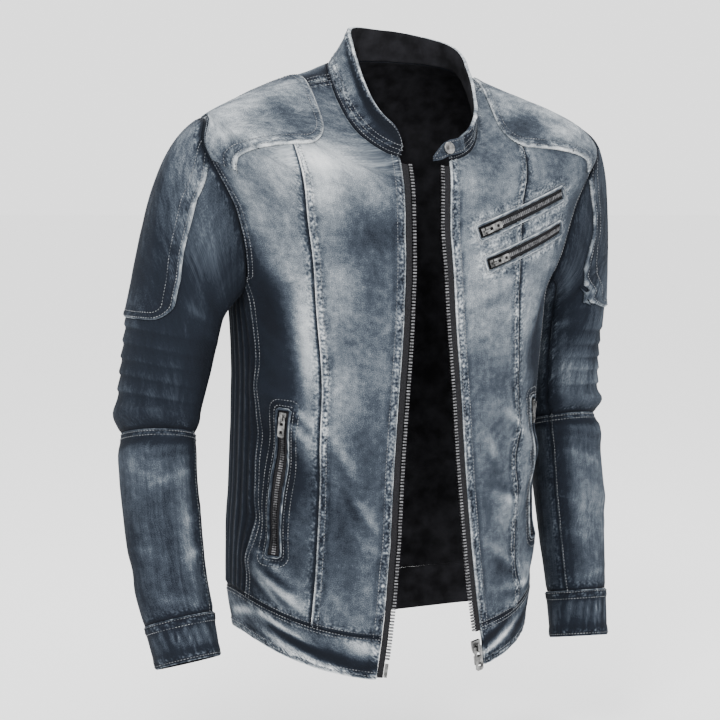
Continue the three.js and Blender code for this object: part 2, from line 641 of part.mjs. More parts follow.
// Sleeve: frame of a full ring of the arm, then the cloth's outer face from armhole to cuff
const armOf = (sign) => (sign < 0 ? rightArm : leftArm);
function armCentre(sign, at) {
  const arm = armOf(sign);
  return new THREE.Vector3(sign * column(arm, "out", at), column(arm, "y", at), column(arm, "z", at));
}
function tubePoint(sign, around, at) {
  const arm = armOf(sign);
  const centre = armCentre(sign, at);
  const [before, after] = [Math.max(0, at - 0.02), Math.min(1, at + 0.02)];
  const ahead = armCentre(sign, after).sub(armCentre(sign, before)).normalize();
  const forward = new THREE.Vector3(0, -1, 0).addScaledVector(ahead, ahead.y).normalize();
  const outward = new THREE.Vector3().crossVectors(forward, ahead).normalize();
  if (outward.x * sign < 0) outward.negate();
  const angle = radians(around);
  let rise = 0;
  for (const fold of sleeveFolds) {
    const turned = Math.abs(((around - fold.turn + 540) % 360) - 180);
    const reach = clamp01(1 - turned / fold.reach);
    rise += fold.rise * bell((at - fold.at) * sleeveLength, fold.width) * reach;
  }
  return centre
    .addScaledVector(outward, (column(arm, "wide", at) + rise) * Math.cos(angle))
    .addScaledVector(forward, (column(arm, "deep", at) + rise) * Math.sin(angle));
}
function armholePoint(sign, around) {
  const pointAt = (place) => bodySurface(sign * place.turn, place.at);
  const place = armholePlace(around);
  const point = pointAt(place);
  const normal = bodyNormal(sign * place.turn, place.at);
  const along = pointAt(armholePlace(around + 1)).sub(pointAt(armholePlace(around - 1)));
  const intoHole = along.cross(normal).normalize();
  const middle = pointAt({ turn: armhole.turn, at: armhole.middle });
  if (intoHole.dot(middle.sub(point)) < 0) intoHole.negate();
  return { point, normal, intoHole };
}
// The sleeve leaves the shoulder level with it, and folds right down at the underarm
const leaveAtTop = 4;
const leaveAtUnderarm = 122;
function leaving(sign, around) {
  const { point, normal, intoHole } = armholePoint(sign, around);
  const under = (1 - Math.cos(radians(around))) / 2;
  const lean = radians(mix(leaveAtTop, leaveAtUnderarm, under ** 0.9));
  const turned = (angle) =>
    intoHole.clone().multiplyScalar(Math.cos(angle)).addScaledVector(normal, Math.sin(angle));
  return { point, direction: turned(lean), between: turned(lean / 2) };
}
function sleeveSurface(sign, around, at) {
  if (at >= 0) return tubePoint(sign, around, at);
  const share = 1 + at / capShare;
  const start = leaving(sign, around);
  const from = start.point.addScaledVector(start.between, seamGap);
  const to = tubePoint(sign, around, 0);
  const toDirection = armCentre(sign, 0.04).sub(armCentre(sign, 0)).normalize();
  const span = from.distanceTo(to);
  const top = (1 + Math.cos(radians(around))) / 2;
  const bulge = mix(0.9, sign < 0 ? capBulge.right : capBulge.left, top);
  const t = share;
  return from
    .clone()
    .multiplyScalar((1 + 2 * t) * (1 - t) ** 2)
    .addScaledVector(to, t * t * (3 - 2 * t))
    .addScaledVector(start.direction, span * bulge * t * (1 - t) ** 2)
    .addScaledVector(toDirection, -span * 0.9 * t * t * (1 - t));
}
function sleeveNormal(sign, around, at) {
  const small = 0.004;
  const low = Math.max(-capShare, at - small);
  const high = Math.min(1, at + small);
  const across = sleeveSurface(sign, around + 1, at).sub(sleeveSurface(sign, around - 1, at));
  const down = sleeveSurface(sign, around, high).sub(sleeveSurface(sign, around, low));
  const normal = down.cross(across).normalize();
  return sign < 0 ? normal : normal.negate();
}
const onSleeve = (sign, around, at, lift = 0) =>
  sleeveSurface(sign, around, at).addScaledVector(sleeveNormal(sign, around, at), lift);

// Columns of the sleeve: those of the armhole's edges and of the underarm, in order round the sleeve
const underarmTurns = Array.from({ length: tuckColumns / samplesPerTuckColumn - 1 }, (_, i) =>
  underarmTurn((i + 1) * underarmStep),
);
const sleeveTurns = [
  ...armholeTurns,
  ...underarmTurns,
  ...armholeTurns.slice(1).reverse().map((around) => 360 - around),
];
function nearestColumn(around) {
  const away = sleeveTurns.map((turn) => Math.abs(turn - around));
  return away.indexOf(Math.min(...away));
}

// Height of the tucks over the outside of the elbow
function tuckHeight(around, at, edge) {
  const facing = clamp01(1.15 - Math.abs(((around + 180) % 360) - 180) / 125);
  return edge * sleeveTucks.rise * Math.min(1, facing * 1.6);
}
const capRows = [1, 0.82, 0.6, 0.34].map((share) => ({ at: -capShare * share, edge: 0 }));
const upperRows = [...capRows, { at: 0, edge: 0 }];
for (let i = 0; i < sleeveTucks.count; i += 1) {
  const pitch = (sleeveTucks.last - sleeveTucks.first) / (sleeveTucks.count - 1);
  const at = sleeveTucks.first + i * pitch;
  upperRows.push({ at: at - 0.006, edge: 1 }, { at: at + 0.006, edge: 0 });
}
upperRows.push({ at: 0.295, edge: 1 }, { at: elbowSeam, edge: 0 });
const underRows = upperRows.filter(({ edge }, i) => edge === 0 || i === upperRows.length - 2);
const lowerSleeveRows = [elbowSeam, 0.375, 0.42, 0.52, 0.64, 0.76, cuffTop].map((at) => ({ at, edge: 0 }));

function sleevePiece(name, sign, rows, from, to, edges, finish) {
  const turns = [];
  for (let i = from; ; i = (i + 1) % sleeveTurns.length) {
    turns.push(sleeveTurns[i]);
    if (i === to) break;
  }
  const grid = (lift, raised) =>
    rows.map(({ at, edge }) => {
      const height = (around) => lift + raised * tuckHeight(around, at, edge);
      const row = turns.map((around) => onSleeve(sign, around, at, height(around)));
      return sign < 0 ? row.reverse() : row;
    });
  add(name, shell(drawIn(grid(0, 1), edges), drawIn(grid(-wall, 0), edges)), finish);
}
const cuffLift = 0.4;
function sleeve({ name, sign }) {
  const front = nearestColumn(frontSleeveSeam);
  const back = nearestColumn(backSleeveSeam);
  const ends = ["start", "end"];
  sleevePiece(`sleeve_upper_top_${name}`, sign, upperRows, back, front, [...ends, "high"], "darkDenim");
  sleevePiece(`sleeve_upper_under_${name}`, sign, underRows, front, back, [...ends, "high"], "darkDenim");
  const both = [...ends, "low", "high"];
  sleevePiece(`sleeve_lower_top_${name}`, sign, lowerSleeveRows, back, front, both, "darkDenim");
  sleevePiece(`sleeve_lower_under_${name}`, sign, lowerSleeveRows, front, back, both, "darkDenim");

  const cuffRows = [cuffTop, 1];
  const ring = (lift) =>
    cuffRows.map((at) => {
      const row = sleeveTurns.map((around) => onSleeve(sign, around, at, lift));
      return sign < 0 ? row.reverse() : row;
    });
  const [outer, inner] = [cuffLift, cuffLift - bandWall].map((lift) => drawIn(ring(lift), ["low"]));
  add(`cuff_${name}`, shell(outer, inner, true), "darkDenim");
}

// Patch over the cap of the sleeve, from the armhole seam down the outside to a round lower end. Its outline
// is that of the view from the side: the front edge from the top down, then the low end and the back edge.
const sleevePatchEdges = {
  right: {
    front: [
      { y: -30, z: 20 },
      { y: -28, z: -108 },
      { y: -27, z: -131 },
      { y: -32, z: -184 },
      { y: -36, z: -214 },
      { y: -37, z: -238 },
    ],
    low: -256,
    back: 64,
  },
  left: {
    front: [
      { y: -34, z: 20 },
      { y: -33, z: -111 },
      { y: -30, z: -134 },
      { y: -27, z: -154 },
      { y: -26, z: -171 },
      { y: -28, z: -189 },
      { y: -27, z: -205 },
      { y: -23, z: -223 },
      { y: -15, z: -240 },
    ],
    low: -261,
    back: 92,
  },
};
const patchCorner = 16;
const patchReach = 100; // degrees round the sleeve from its top, to either side
// The sleeve's cap from inside its wall to a height above it
function sleeveLayer(sign, top) {
  const grid = (lift) =>
    capRows.slice(0, 3).map(({ at }) => {
      const row = sleeveTurns.map((around) => onSleeve(sign, around, at, lift));
      return sign < 0 ? row.reverse() : row;
    });
  return solidOf(shell(grid(top), grid(-wall - seamGap), true));
}
function sleevePatch({ name, sign }) {
  const { front, low, back } = sleevePatchEdges[name];
  const lastFront = front.at(-1).y;
  const outline = [
    ...front.map(({ y, z }) => [y, z]),
    ...corner(lastFront + patchCorner, low + patchCorner, patchCorner, 180, 270),
    ...corner(back - patchCorner, low + patchCorner, patchCorner, 270, 360),
    [back, 20],
  ];
  const cutter = solidOf(prism(outline, 120, new THREE.Vector3(sign * 300, 0, 0), yAxis, xAxis));
  const first = { at: -capShare * 0.985, edge: 0 };
  const rows = [first, ...upperRows.slice(1).filter(({ at }) => at < 0.07)];
  const turns = sleeveTurns.map((turn) => (turn > 180 ? turn - 360 : turn)).sort((a, b) => a - b);
  const near = turns.filter((turn) => Math.abs(turn) < patchReach);
  const grid = (lift) =>
    rows.map(({ at, edge }) => {
      const row = near.map((around) => onSleeve(sign, around, at, lift + tuckHeight(around, at, edge)));
      return sign < 0 ? row.reverse() : row;
    });
  const layer = solidOf(shell(grid(patchGap + patchWall), grid(patchGap)));
  add(`sleeve_patch_${name}`, geometryOf(largestPart(layer.intersect(cutter))), "darkDenim");
}

// Front zip: a tape beyond each front edge with its row of teeth as a plain bead, and at the foot the pin
// on the wearer's right and the box with the slider above it on the left
const zipTape = { width: 6.6, thick: 1 };
const teethBead = { width: 4.2, thick: 3, out: 0.9 };
const zipFoot = { right: 0.03, left: 0.058 };
const beadMiddle = seamGap * 2.5 + zipTape.width + teethBead.width / 2;
function stripBesideEdge(sign, heights, inset, width, thick, lift) {
  const places = heights.map((at) => {
    const edge = frontEdge(sign, at);
    const near = sign * (edge - degreesFor(inset, edge, at));
    const far = sign * (edge - degreesFor(inset + width, edge, at));
    return [near, far].map((turn) => ({ turn, at }));
  });
  return bodyWall(towardsLeft(-sign, places), thick, [], lift);
}
function frontZip({ name, sign }) {
  const heights = [0.002, 0.035, ...rowHeights.filter((at) => at < 0.985), 0.985];
  const foot = zipFoot[name];
  const above = [foot, ...heights.filter((at) => at > foot + 0.01)];
  const tape = solidOf(stripBesideEdge(sign, heights, seamGap * 1.5, zipTape.width, zipTape.thick, -0.6));
  const { width, thick, out } = teethBead;
  const teeth = stripBesideEdge(sign, above, beadMiddle - width / 2, width, thick, out);
  add(`zip_teeth_${name}`, teeth, "agedMetal");
  const end = besideEdge(sign, 0.004, 0.1);
  if (sign < 0) {
    const pin = box([15, 3.4, 2.6], [8.2, 0, -0.6]).applyMatrix4(end);
    add("zip_pin", pin, "agedMetal");
    add(`zip_tape_${name}`, geometryOf(tape), "zipTape");
    return;
  }
  const boxSize = [10, 7, 3.4];
  add("zip_box", box(boxSize, [5.6, 0, -0.8]).applyMatrix4(end), "agedMetal");
  const scale = 1.3;
  const seat = besideEdge(sign, 0.037, -0.8 - (sliderSize.thick * scale) / 2, -1);
  add("zip_slider", geometryOf(sliderBody(scale)).applyMatrix4(seat), "agedMetal");
  add("zip_pull", geometryOf(pullTab(scale)).applyMatrix4(seat), "agedMetal");
  const spaces = [
    box(boxSize.map((size) => size + 2 * seamGap), [5.6, 0, -0.8]).applyMatrix4(end),
    box([11 * scale + 0.6, 8 * scale + 0.6, 8], [0, 0, 2]).applyMatrix4(seat),
  ];
  const cutTape = spaces.reduce((solid, space) => solid.subtract(solidOf(space)), tape);
  add(`zip_tape_${name}`, geometryOf(cutTape), "zipTape");
}
function box([x, y, z], [u, v, w]) {
  return new THREE.BoxGeometry(x, y, z).translate(u, v, w);
}
// Frame on the middle of a row of teeth: x up the zip (or down it), z out of the cloth
function besideEdge(sign, at, lift, heading = 1) {
  const turnOf = (height) => {
    const edge = frontEdge(sign, height);
    return sign * (edge - degreesFor(beadMiddle, edge, height));
  };
  const up = bodySurface(turnOf(at + 0.02), at + 0.02).sub(bodySurface(turnOf(at), at)).normalize();
  const normal = bodyNormal(turnOf(at), at);
  return frameMatrix(bodySurface(turnOf(at), at), up.multiplyScalar(heading), normal, lift);
}
function frameMatrix(origin, along, out, lift) {
  const across = new THREE.Vector3().crossVectors(out, along).normalize();
  const straight = new THREE.Vector3().crossVectors(across, out).normalize();
  const middle = origin.clone().addScaledVector(out, lift);
  return new THREE.Matrix4().makeBasis(straight, across, out).setPosition(middle);
}

// Slider with a bridge, and the tab whose cross bar lies under the bridge. Both in a frame whose x runs
// towards the tab's free end at rest and whose z stands out of the cloth; the origin is under the bridge.
const sliderSize = {
  length: 11,
  wide: 8,
  narrow: 6,
  thick: 2.6,
  bridge: 7,
  bridgeWide: 1.7,
  post: 1.3,
  gap: 1.7,
  roof: 1.1,
};
const tabSize = {
  width: 7.6,
  thick: 1.1,
  length: 21,
  slotWide: 3.3,
  slotLong: 8.5,
  holeFrom: 14,
  holeTo: 17.5,
  bar: 0.5,
};
function sliderBody(scale) {
  const { length, wide, narrow, thick, bridge, bridgeWide, post, gap, roof } = sliderSize;
  const outline = [
    [-length / 2, -wide / 2],
    [length / 8, -wide / 2],
    [length / 2, -narrow / 2],
    [length / 2, narrow / 2],
    [length / 8, wide / 2],
    [-length / 2, wide / 2],
  ];
  const plate = solidOf(prism(outline, thick / 2, new THREE.Vector3(0, 0, thick / 2), xAxis, zAxis));
  const sink = 0.5; // of each post into the plate
  const postMiddle = thick + (gap + roof - sink) / 2;
  const postAt = (end) => [(end * (bridge - post)) / 2, 0, postMiddle];
  const parts = [
    box([bridge, bridgeWide, roof], [0, 0, thick + gap + roof / 2]),
    ...[-1, 1].map((end) => box([post, bridgeWide, gap + roof + sink], postAt(end))),
  ];
  return parts.reduce((whole, part) => whole.add(solidOf(part)), plate).scale([scale, scale, scale]);
}
const tabAxisHeight = sliderSize.thick + sliderSize.gap / 2;
function pullTab(scale) {
  const { width, thick, length, slotWide, slotLong, holeFrom, holeTo, bar } = tabSize;
  const start = -thick / 2;
  const outline = [
    [start, -width / 2],
    [length - 1.5, -width / 2],
    [length, -width / 2 + 1.5],
    [length, width / 2 - 1.5],
    [length - 1.5, width / 2],
    [start, width / 2],
  ];
  const plate = solidOf(prism(outline, thick / 2, new THREE.Vector3(), xAxis, zAxis));
  const slot = solidOf(box([slotLong + 4, slotWide, 4], [(slotLong - 4) / 2, 0, 0]));
  const hole = solidOf(box([holeTo - holeFrom, slotWide, 4], [(holeFrom + holeTo) / 2, 0, 0]));
  const rod = new THREE.CylinderGeometry(bar, bar, width - 1, 8);
  const tab = plate.subtract(slot).subtract(hole).add(solidOf(rod));
  return tab.translate([0, 0, tabAxisHeight]).scale([scale, scale, scale]);
}

// Zipped pockets: a welt round a window in the front, and in the window the tape, its teeth as a plain bead,
// a slider at the from end and its tab
const pockets = [
  { name: "hand_right", sign: -1, from: { turn: 55.5, at: 0.445 }, to: { turn: 60.5, at: 0.175 }, bow: -3 },
  { name: "hand_left", sign: 1, from: { turn: 55.5, at: 0.445 }, to: { turn: 60.5, at: 0.175 }, bow: 3 },
  { name: "chest_upper", sign: 1, from: { turn: 11, at: 0.782 }, to: { turn: 42, at: 0.838 }, bow: 0 },
  { name: "chest_lower", sign: 1, from: { turn: 15, at: 0.702 }, to: { turn: 50, at: 0.757 }, bow: 0 },
];
const pocketZip = {
  halfWidth: 6.4,
  welt: 2.8,
  weltLow: 0.3,
  weltHigh: 1.4,
  tapeLow: -1.8,
  tapeHigh: -1,
  bead: 2.4,
};
const sliderPlace = 8; // from the window's end to the middle of the slider

// A point of the front's facets
function facetPoint(sign, turn, at) {
  const row = Math.max(0, rowHeights.findLastIndex((height) => height <= at));
  const [low, high] = frontPlaces(sign, rowHeights.slice(row, row + 2));
  const share = (at - low[0].at) / (high[0].at - low[0].at);
  const turns = low.map((place, i) => Math.abs(mix(place.turn, high[i].turn, share)));
  const next = turns.findIndex((limit) => limit > turn);
  const along = (turn - turns[next - 1]) / (turns[next] - turns[next - 1]);
  const point = (place) => bodySurface(place.turn, place.at);
  const bottom = point(low[next - 1]).lerp(point(low[next]), along);
  return bottom.lerp(point(high[next - 1]).lerp(point(high[next]), along), share);
}
function pocketFrame(pocket) {
  const { sign, from, to } = pocket;
  const start = facetPoint(sign, from.turn, from.at);
  const chord = facetPoint(sign, to.turn, to.at).sub(start);
  const turn = (from.turn + to.turn) / 2;
  const at = (from.at + to.at) / 2;
  const out = slopeNormal(ringPoint, sign * turn, at);
  const length = chord.length();
  const along = chord.normalize().addScaledVector(out, -chord.dot(out)).normalize();
  const across = new THREE.Vector3().crossVectors(out, along);
  return { length, along, across, out, turn, at, middle: facetPoint(sign, turn, at) };
}
// Turn and height of the cloth behind a point of the pocket's plane
function placeBehind(pocket, x, y) {
  const { along, across, middle, turn, at } = pocketFrame(pocket);
  const flat = (place) => {
    const offset = bodySurface(pocket.sign * place.turn, place.at).sub(middle);
    return [offset.dot(along) - x, offset.dot(across) - y];
  };
  const place = { turn, at };
  const step = { turn: 0.5, at: 0.002 };
  for (let i = 0; i < 8; i += 1) {
    const here = flat(place);
    const [fx, fy] = here;
    const slope = (moved, size) => flat({ ...place, ...moved }).map((v, k) => (v - here[k]) / size);
    const [tx, ty] = slope({ turn: place.turn + step.turn }, step.turn);
    const [ax, ay] = slope({ at: place.at + step.at }, step.at);
    const det = tx * ay - ax * ty;
    place.turn -= (fx * ay - ax * fy) / det;
    place.at -= (tx * fy - fx * ty) / det;
  }
  return place;
}
const pocketBow = (pocket, x, length) => pocket.bow * (1 - ((2 * x) / length) ** 2);
function pocketPrism(pocket, halfWidth, inset, startInset = inset) {
  const { length, along, out, middle } = pocketFrame(pocket);
  const steps = 6;
  const side = (sign) =>
    Array.from({ length: steps + 1 }, (_, i) => {
      const x = mix(startInset, length - inset, i / steps) - length / 2;
      return [x, pocketBow(pocket, x, length) + sign * halfWidth];
    });
  return prism([...side(-1), ...side(1).reverse()], 45, middle, along, out);
}
function zippedPocket(pocket) {
  const { name, sign } = pocket;
  const { halfWidth, welt, weltLow, weltHigh, tapeLow, tapeHigh, bead } = pocketZip;
  const lowest = Math.min(pocket.from.at, pocket.to.at) - 0.09;
  const highest = Math.max(pocket.from.at, pocket.to.at) + 0.09;
  const places = frontPlaces(sign, rowHeights.filter((at) => at > lowest && at < highest));
  const layer = (low, high) => solidOf(bodyWall(towardsLeft(sign, places), high - low, [], high));
  const cutter = (...sizes) => solidOf(pocketPrism(pocket, ...sizes));
  const ring = layer(weltLow, weltHigh).intersect(cutter(halfWidth + welt, -welt));
  const frame = ring.subtract(cutter(halfWidth, 0));
  const tape = layer(tapeLow, tapeHigh).intersect(cutter(halfWidth - seamGap, seamGap));
  const teeth = layer(tapeHigh + seamGap, 0.4).intersect(cutter(bead, 2, sliderPlace + 6.2));
  add(`pocket_${name}_welt`, geometryOf(frame), "denim");
  add(`pocket_${name}_tape`, geometryOf(tape), "zipTape");
  add(`pocket_${name}_teeth`, geometryOf(teeth), "agedMetal");

  const { length, along } = pocketFrame(pocket);
  const x = sliderPlace - length / 2;
  const place = placeBehind(pocket, x, pocketBow(pocket, x, length));
  const out = slopeNormal(ringPoint, sign * place.turn, place.at);
  const seat = frameMatrix(facetPoint(sign, place.turn, place.at), along, out, tapeHigh + 0.8);
  add(`pocket_${name}_slider`, geometryOf(sliderBody(1)).applyMatrix4(seat), "agedMetal");
  add(`pocket_${name}_pull`, geometryOf(pullTab(1)).applyMatrix4(seat), "agedMetal");
}

for (const side of sides) {
  frontPanels(side);
  tuckedPanel(side);
  shoulderPatches(side);
  sleeve(side);
  sleevePatch(side);
  frontZip(side);
}
backPanel();
hemBand();
collar();
collarTab();
pockets.forEach(zippedPocket);

export default jacket;
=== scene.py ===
import math

import bmesh
import bpy
import numpy as np
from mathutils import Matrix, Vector


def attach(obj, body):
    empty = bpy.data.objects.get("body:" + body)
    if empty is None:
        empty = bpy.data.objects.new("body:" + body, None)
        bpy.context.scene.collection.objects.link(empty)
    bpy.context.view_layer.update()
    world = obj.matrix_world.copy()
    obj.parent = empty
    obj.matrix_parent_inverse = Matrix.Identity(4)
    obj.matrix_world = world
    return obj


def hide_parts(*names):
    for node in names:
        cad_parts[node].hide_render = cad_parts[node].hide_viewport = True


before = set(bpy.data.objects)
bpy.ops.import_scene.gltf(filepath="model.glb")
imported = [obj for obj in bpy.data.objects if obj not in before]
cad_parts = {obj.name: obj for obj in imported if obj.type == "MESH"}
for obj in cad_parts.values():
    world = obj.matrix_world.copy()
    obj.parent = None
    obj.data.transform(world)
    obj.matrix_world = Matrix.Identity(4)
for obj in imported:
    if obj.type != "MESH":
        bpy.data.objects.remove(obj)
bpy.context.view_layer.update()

# A denim jacket in its worn shape. Sizes here are in millimetres and degrees, and meshes are made in metres.
mm = 0.001
wall = 2.0
patchWall = 1.8
patchGap = 0.5
bandWall = 2.6
seamGap = 0.3
seed = 11

sides = [("right", -1), ("left", 1)]


def table(names, rows):
    columns = zip(*rows)
    return {name: np.array(values, float) for name, values in zip(names.split(), columns)}


# Body rings from the hem edge to the neck seam, as in the construction
bodyRings = table("at side front back x y zFront zSide zBack dip", [
    (0.00, 170, 122, 101, -12, 25, -651, -604, -622, 0.0),
    (0.07, 177, 125, 106, -12, 26, -604, -557, -574, 0.0),
    (0.18, 177, 124, 106, -11, 26, -527, -500, -506, 0.0),
    (0.32, 175, 122, 104, -9, 25, -436, -424, -424, 0.0),
    (0.48, 177, 117, 110, -6, 18, -334, -330, -325, 0.0),
    (0.62, 185, 110, 117, -4, 10, -246, -240, -235, 0.0),
    (0.70, 202, 106, 120, -2, 6, -203, -188, -182, 0.0),
    (0.78, 217, 101, 120, -1, 3, -167, -136, -128, 0.0),
    (0.86, 241, 97, 114, 0, 2, -135, -70, -66, 0.1),
    (0.94, 158, 90, 92, 1, 0, -110, -24, -8, 0.6),
    (1.00, 82, 82, 66, 3, 0, -92, -11, 20, 1.0),
])
ringPower = 2.25
bandTop = 0.07
leftDrop = 3.5

# Distance of the front edges and princess seams from the middle of the ring
frontEdges = table("at right left", [
    (0.0, 57, 77), (0.15, 46, 61), (0.3, 41, 49), (0.45, 38, 38),
    (0.62, 34, 26), (0.8, 35, 18), (1.0, 36, 21),
])
princessSeams = table("at right left", [
    (0.0, 128, 126), (0.12, 121, 122), (0.32, 117, 118), (0.47, 118, 117),
    (0.62, 127, 112), (0.71, 134, 109), (0.84, 144, 110), (0.94, 148, 124),
])
shortestPiece = 1.4
frontSeamTurns = table("at turn", [
    (0.0, 81), (0.08, 78), (0.15, 76), (0.27, 73.5), (0.38, 74), (0.52, 74.5), (0.6586, 78.66),
])
armhole = {"turn": 97, "halfTurn": 28, "middle": 0.755, "halfRise": 0.135, "power": 2.5, "sideSeamAt": 131}
shoulderSeamAtNeck = 94
degreeLength = 2.3
bodyHeight = 640

# Folds from one place to another: degrees from the centre front and share of the height, width and rise
bodyFolds = table("turn at toTurn toAt width rise", [
    (-68, 0.48, -42, 0.39, 20, 6),
    (-68, 0.39, -46, 0.31, 18, -5),
    (-36, 0.42, -18, 0.22, 19, 5),
    (-72, 0.15, -44, 0.1, 18, 6),
    (-72, 0.23, -50, 0.16, 17, -5),
    (26, 0.44, 50, 0.36, 19, 5),
    (62, 0.34, 34, 0.26, 19, 6),
    (66, 0.16, 42, 0.1, 18, 5),
    (68, 0.62, 52, 0.52, 18, -5),
    (-66, 0.62, -52, 0.54, 18, -4),
    (128, 0.62, 160, 0.48, 24, 6),
    (232, 0.62, 200, 0.47, 24, 6),
    (130, 0.27, 174, 0.2, 22, 5),
    (228, 0.32, 190, 0.24, 20, -5),
    (148, 0.12, 204, 0.1, 20, 5),
])
# Narrower creases, only in the looks
bodyCreases = table("turn at toTurn toAt width rise", [
    (-63, 0.475, -44, 0.425, 5, 1.6),
    (-60, 0.45, -40, 0.39, 5, -1.2),
    (-36, 0.41, -24, 0.31, 6, 1.4),
    (-31, 0.33, -17, 0.235, 5, 1.5),
    (-34, 0.38, -26, 0.25, 6, -1.0),
    (-70, 0.175, -52, 0.135, 5, 1.6),
    (-66, 0.145, -46, 0.115, 5, -1.5),
    (-74, 0.13, -58, 0.09, 5, 1.4),
    (-62, 0.12, -44, 0.092, 4, 1.3),
    (-72, 0.6, -58, 0.56, 6, -1.2),
    (-70, 0.55, -60, 0.5, 6, 1.0),
    (20, 0.39, 28, 0.34, 6, 1.4),
    (30, 0.43, 44, 0.38, 6, 1.3),
    (26, 0.3, 44, 0.27, 6, -1.2),
    (24, 0.2, 40, 0.14, 6, 1.3),
    (48, 0.24, 64, 0.3, 6, 1.2),
    (30, 0.12, 52, 0.1, 5, 1.4),
    (12, 0.62, 30, 0.66, 8, 0.9),
    (140, 0.6, 165, 0.5, 7, 1.5),
    (220, 0.6, 196, 0.5, 7, 1.5),
    (132, 0.45, 158, 0.36, 7, -1.2),
    (228, 0.44, 204, 0.34, 7, 1.3),
    (150, 0.2, 196, 0.17, 7, 1.3),
    (170, 0.86, 200, 0.85, 9, 1.0),
])

# Pale and dark areas of the wash on the body: place, half sizes in degrees and share of height, and tone
bodyWash = table("turn at wide tall tone", [
    (-42, 0.925, 16, 0.04, 0.62),
    (-30, 0.86, 14, 0.05, 0.3),
    (-17, 0.78, 7, 0.07, -0.28),
    (-20, 0.66, 9, 0.14, -0.12),
    (-32, 0.66, 10, 0.12, 0.14),
    (-46, 0.57, 6, 0.11, 0.5),
    (-56, 0.76, 11, 0.1, 0.12),
    (-74, 0.8, 7, 0.14, -0.3),
    (-66, 0.62, 9, 0.1, -0.6),
    (-64, 0.44, 11, 0.16, -0.8),
    (-54, 0.47, 8, 0.06, -0.3),
    (-57, 0.3, 11, 0.1, -0.6),
    (-30, 0.47, 10, 0.05, 0.12),
    (-30, 0.4, 11, 0.05, -0.16),
    (-27, 0.28, 9, 0.1, -0.36),
    (-16, 0.3, 5, 0.14, -0.12),
    (-54, 0.415, 8, 0.014, 0.4),
    (-56, 0.13, 12, 0.04, -0.12),
    (-38, 0.16, 12, 0.07, -0.1),
    (-74, 0.12, 7, 0.07, -0.45),
    (-100, 0.965, 9, 0.05, -0.7),
    (10, 0.92, 14, 0.05, 0.16),
    (30, 0.9, 14, 0.05, 0.0),
    (12, 0.72, 7, 0.1, 0.22),
    (20, 0.6, 14, 0.07, 0.2),
    (46, 0.62, 12, 0.09, 0.22),
    (14, 0.5, 8, 0.06, -0.08),
    (28, 0.44, 12, 0.06, -0.16),
    (24, 0.28, 12, 0.08, -0.1),
    (40, 0.3, 10, 0.1, -0.04),
    (30, 0.13, 12, 0.05, -0.12),
    (60, 0.45, 10, 0.2, -0.45),
    (70, 0.2, 14, 0.14, -0.45),
    (62, 0.8, 10, 0.1, -0.2),
    (150, 0.6, 16, 0.16, 0.15),
    (205, 0.66, 18, 0.14, 0.12),
    (180, 0.88, 30, 0.08, 0.18),
    (175, 0.3, 26, 0.12, -0.2),
])

rightArm = table("at out y z wide deep", [
    (0.0, 256, 14, -255, 50, 56),
    (0.15, 266, 15, -309, 47, 52),
    (0.27, 275, 14, -352, 44, 48),
    (0.36, 280, 7, -386, 41, 45),
    (0.53, 283, -9, -448, 41, 43),
    (0.7, 283, -28, -510, 40, 41),
    (0.87, 277, -48, -571, 37, 38),
    (1.0, 272, -62, -615, 34, 36),
])
leftArm = table("at out y z wide deep", [
    (0.0, 234, 42, -262, 43, 53),
    (0.15, 230, 45, -318, 42, 49),
    (0.27, 229, 43, -362, 42, 46),
    (0.36, 229, 36, -397, 41, 44),
    (0.53, 226, 18, -460, 41, 42),
    (0.7, 224, 4, -522, 38, 39),
    (0.87, 223, -9, -588, 34, 36),
    (1.0, 221, -20, -640, 32, 34),
])
capBulge = {-1: 0.85, 1: 0.4}
cuffTop = 0.87
elbowSeam = 0.345
capShare = 0.34
sleeveLength = 380
leaveAtTop = 4
leaveAtUnderarm = 122
sleeveFolds = table("at turn width rise reach", [
    (0.305, 30, 9, 5, 170),
    (0.35, 30, 9, -5, 170),
    (0.41, 60, 11, 3, 110),
    (0.6, 60, 12, 3, 60),
    (0.72, 330, 13, -3, 70),
    (0.8, 90, 11, 3, 60),
])
sleeveCreases = table("around at toAround toAt width rise", [
    (20, 0.385, 120, 0.36, 4, 1.4),
    (40, 0.43, 140, 0.4, 5, -1.0),
    (60, 0.5, 130, 0.46, 5, 1.0),
    (-30, 0.4, -100, 0.37, 5, 1.2),
    (100, 0.62, 160, 0.56, 5, 1.0),
    (10, 0.66, 60, 0.7, 6, 0.9),
    (90, 0.72, 150, 0.68, 5, 1.0),
    (30, 0.8, 110, 0.84, 5, 1.0),
    (-60, 0.74, -130, 0.7, 6, 1.0),
    (60, -0.06, 120, 0.0, 7, 1.1),
    (95, -0.12, 130, -0.04, 6, -1.2),
    (100, 0.02, 150, 0.06, 5, 1.2),
])
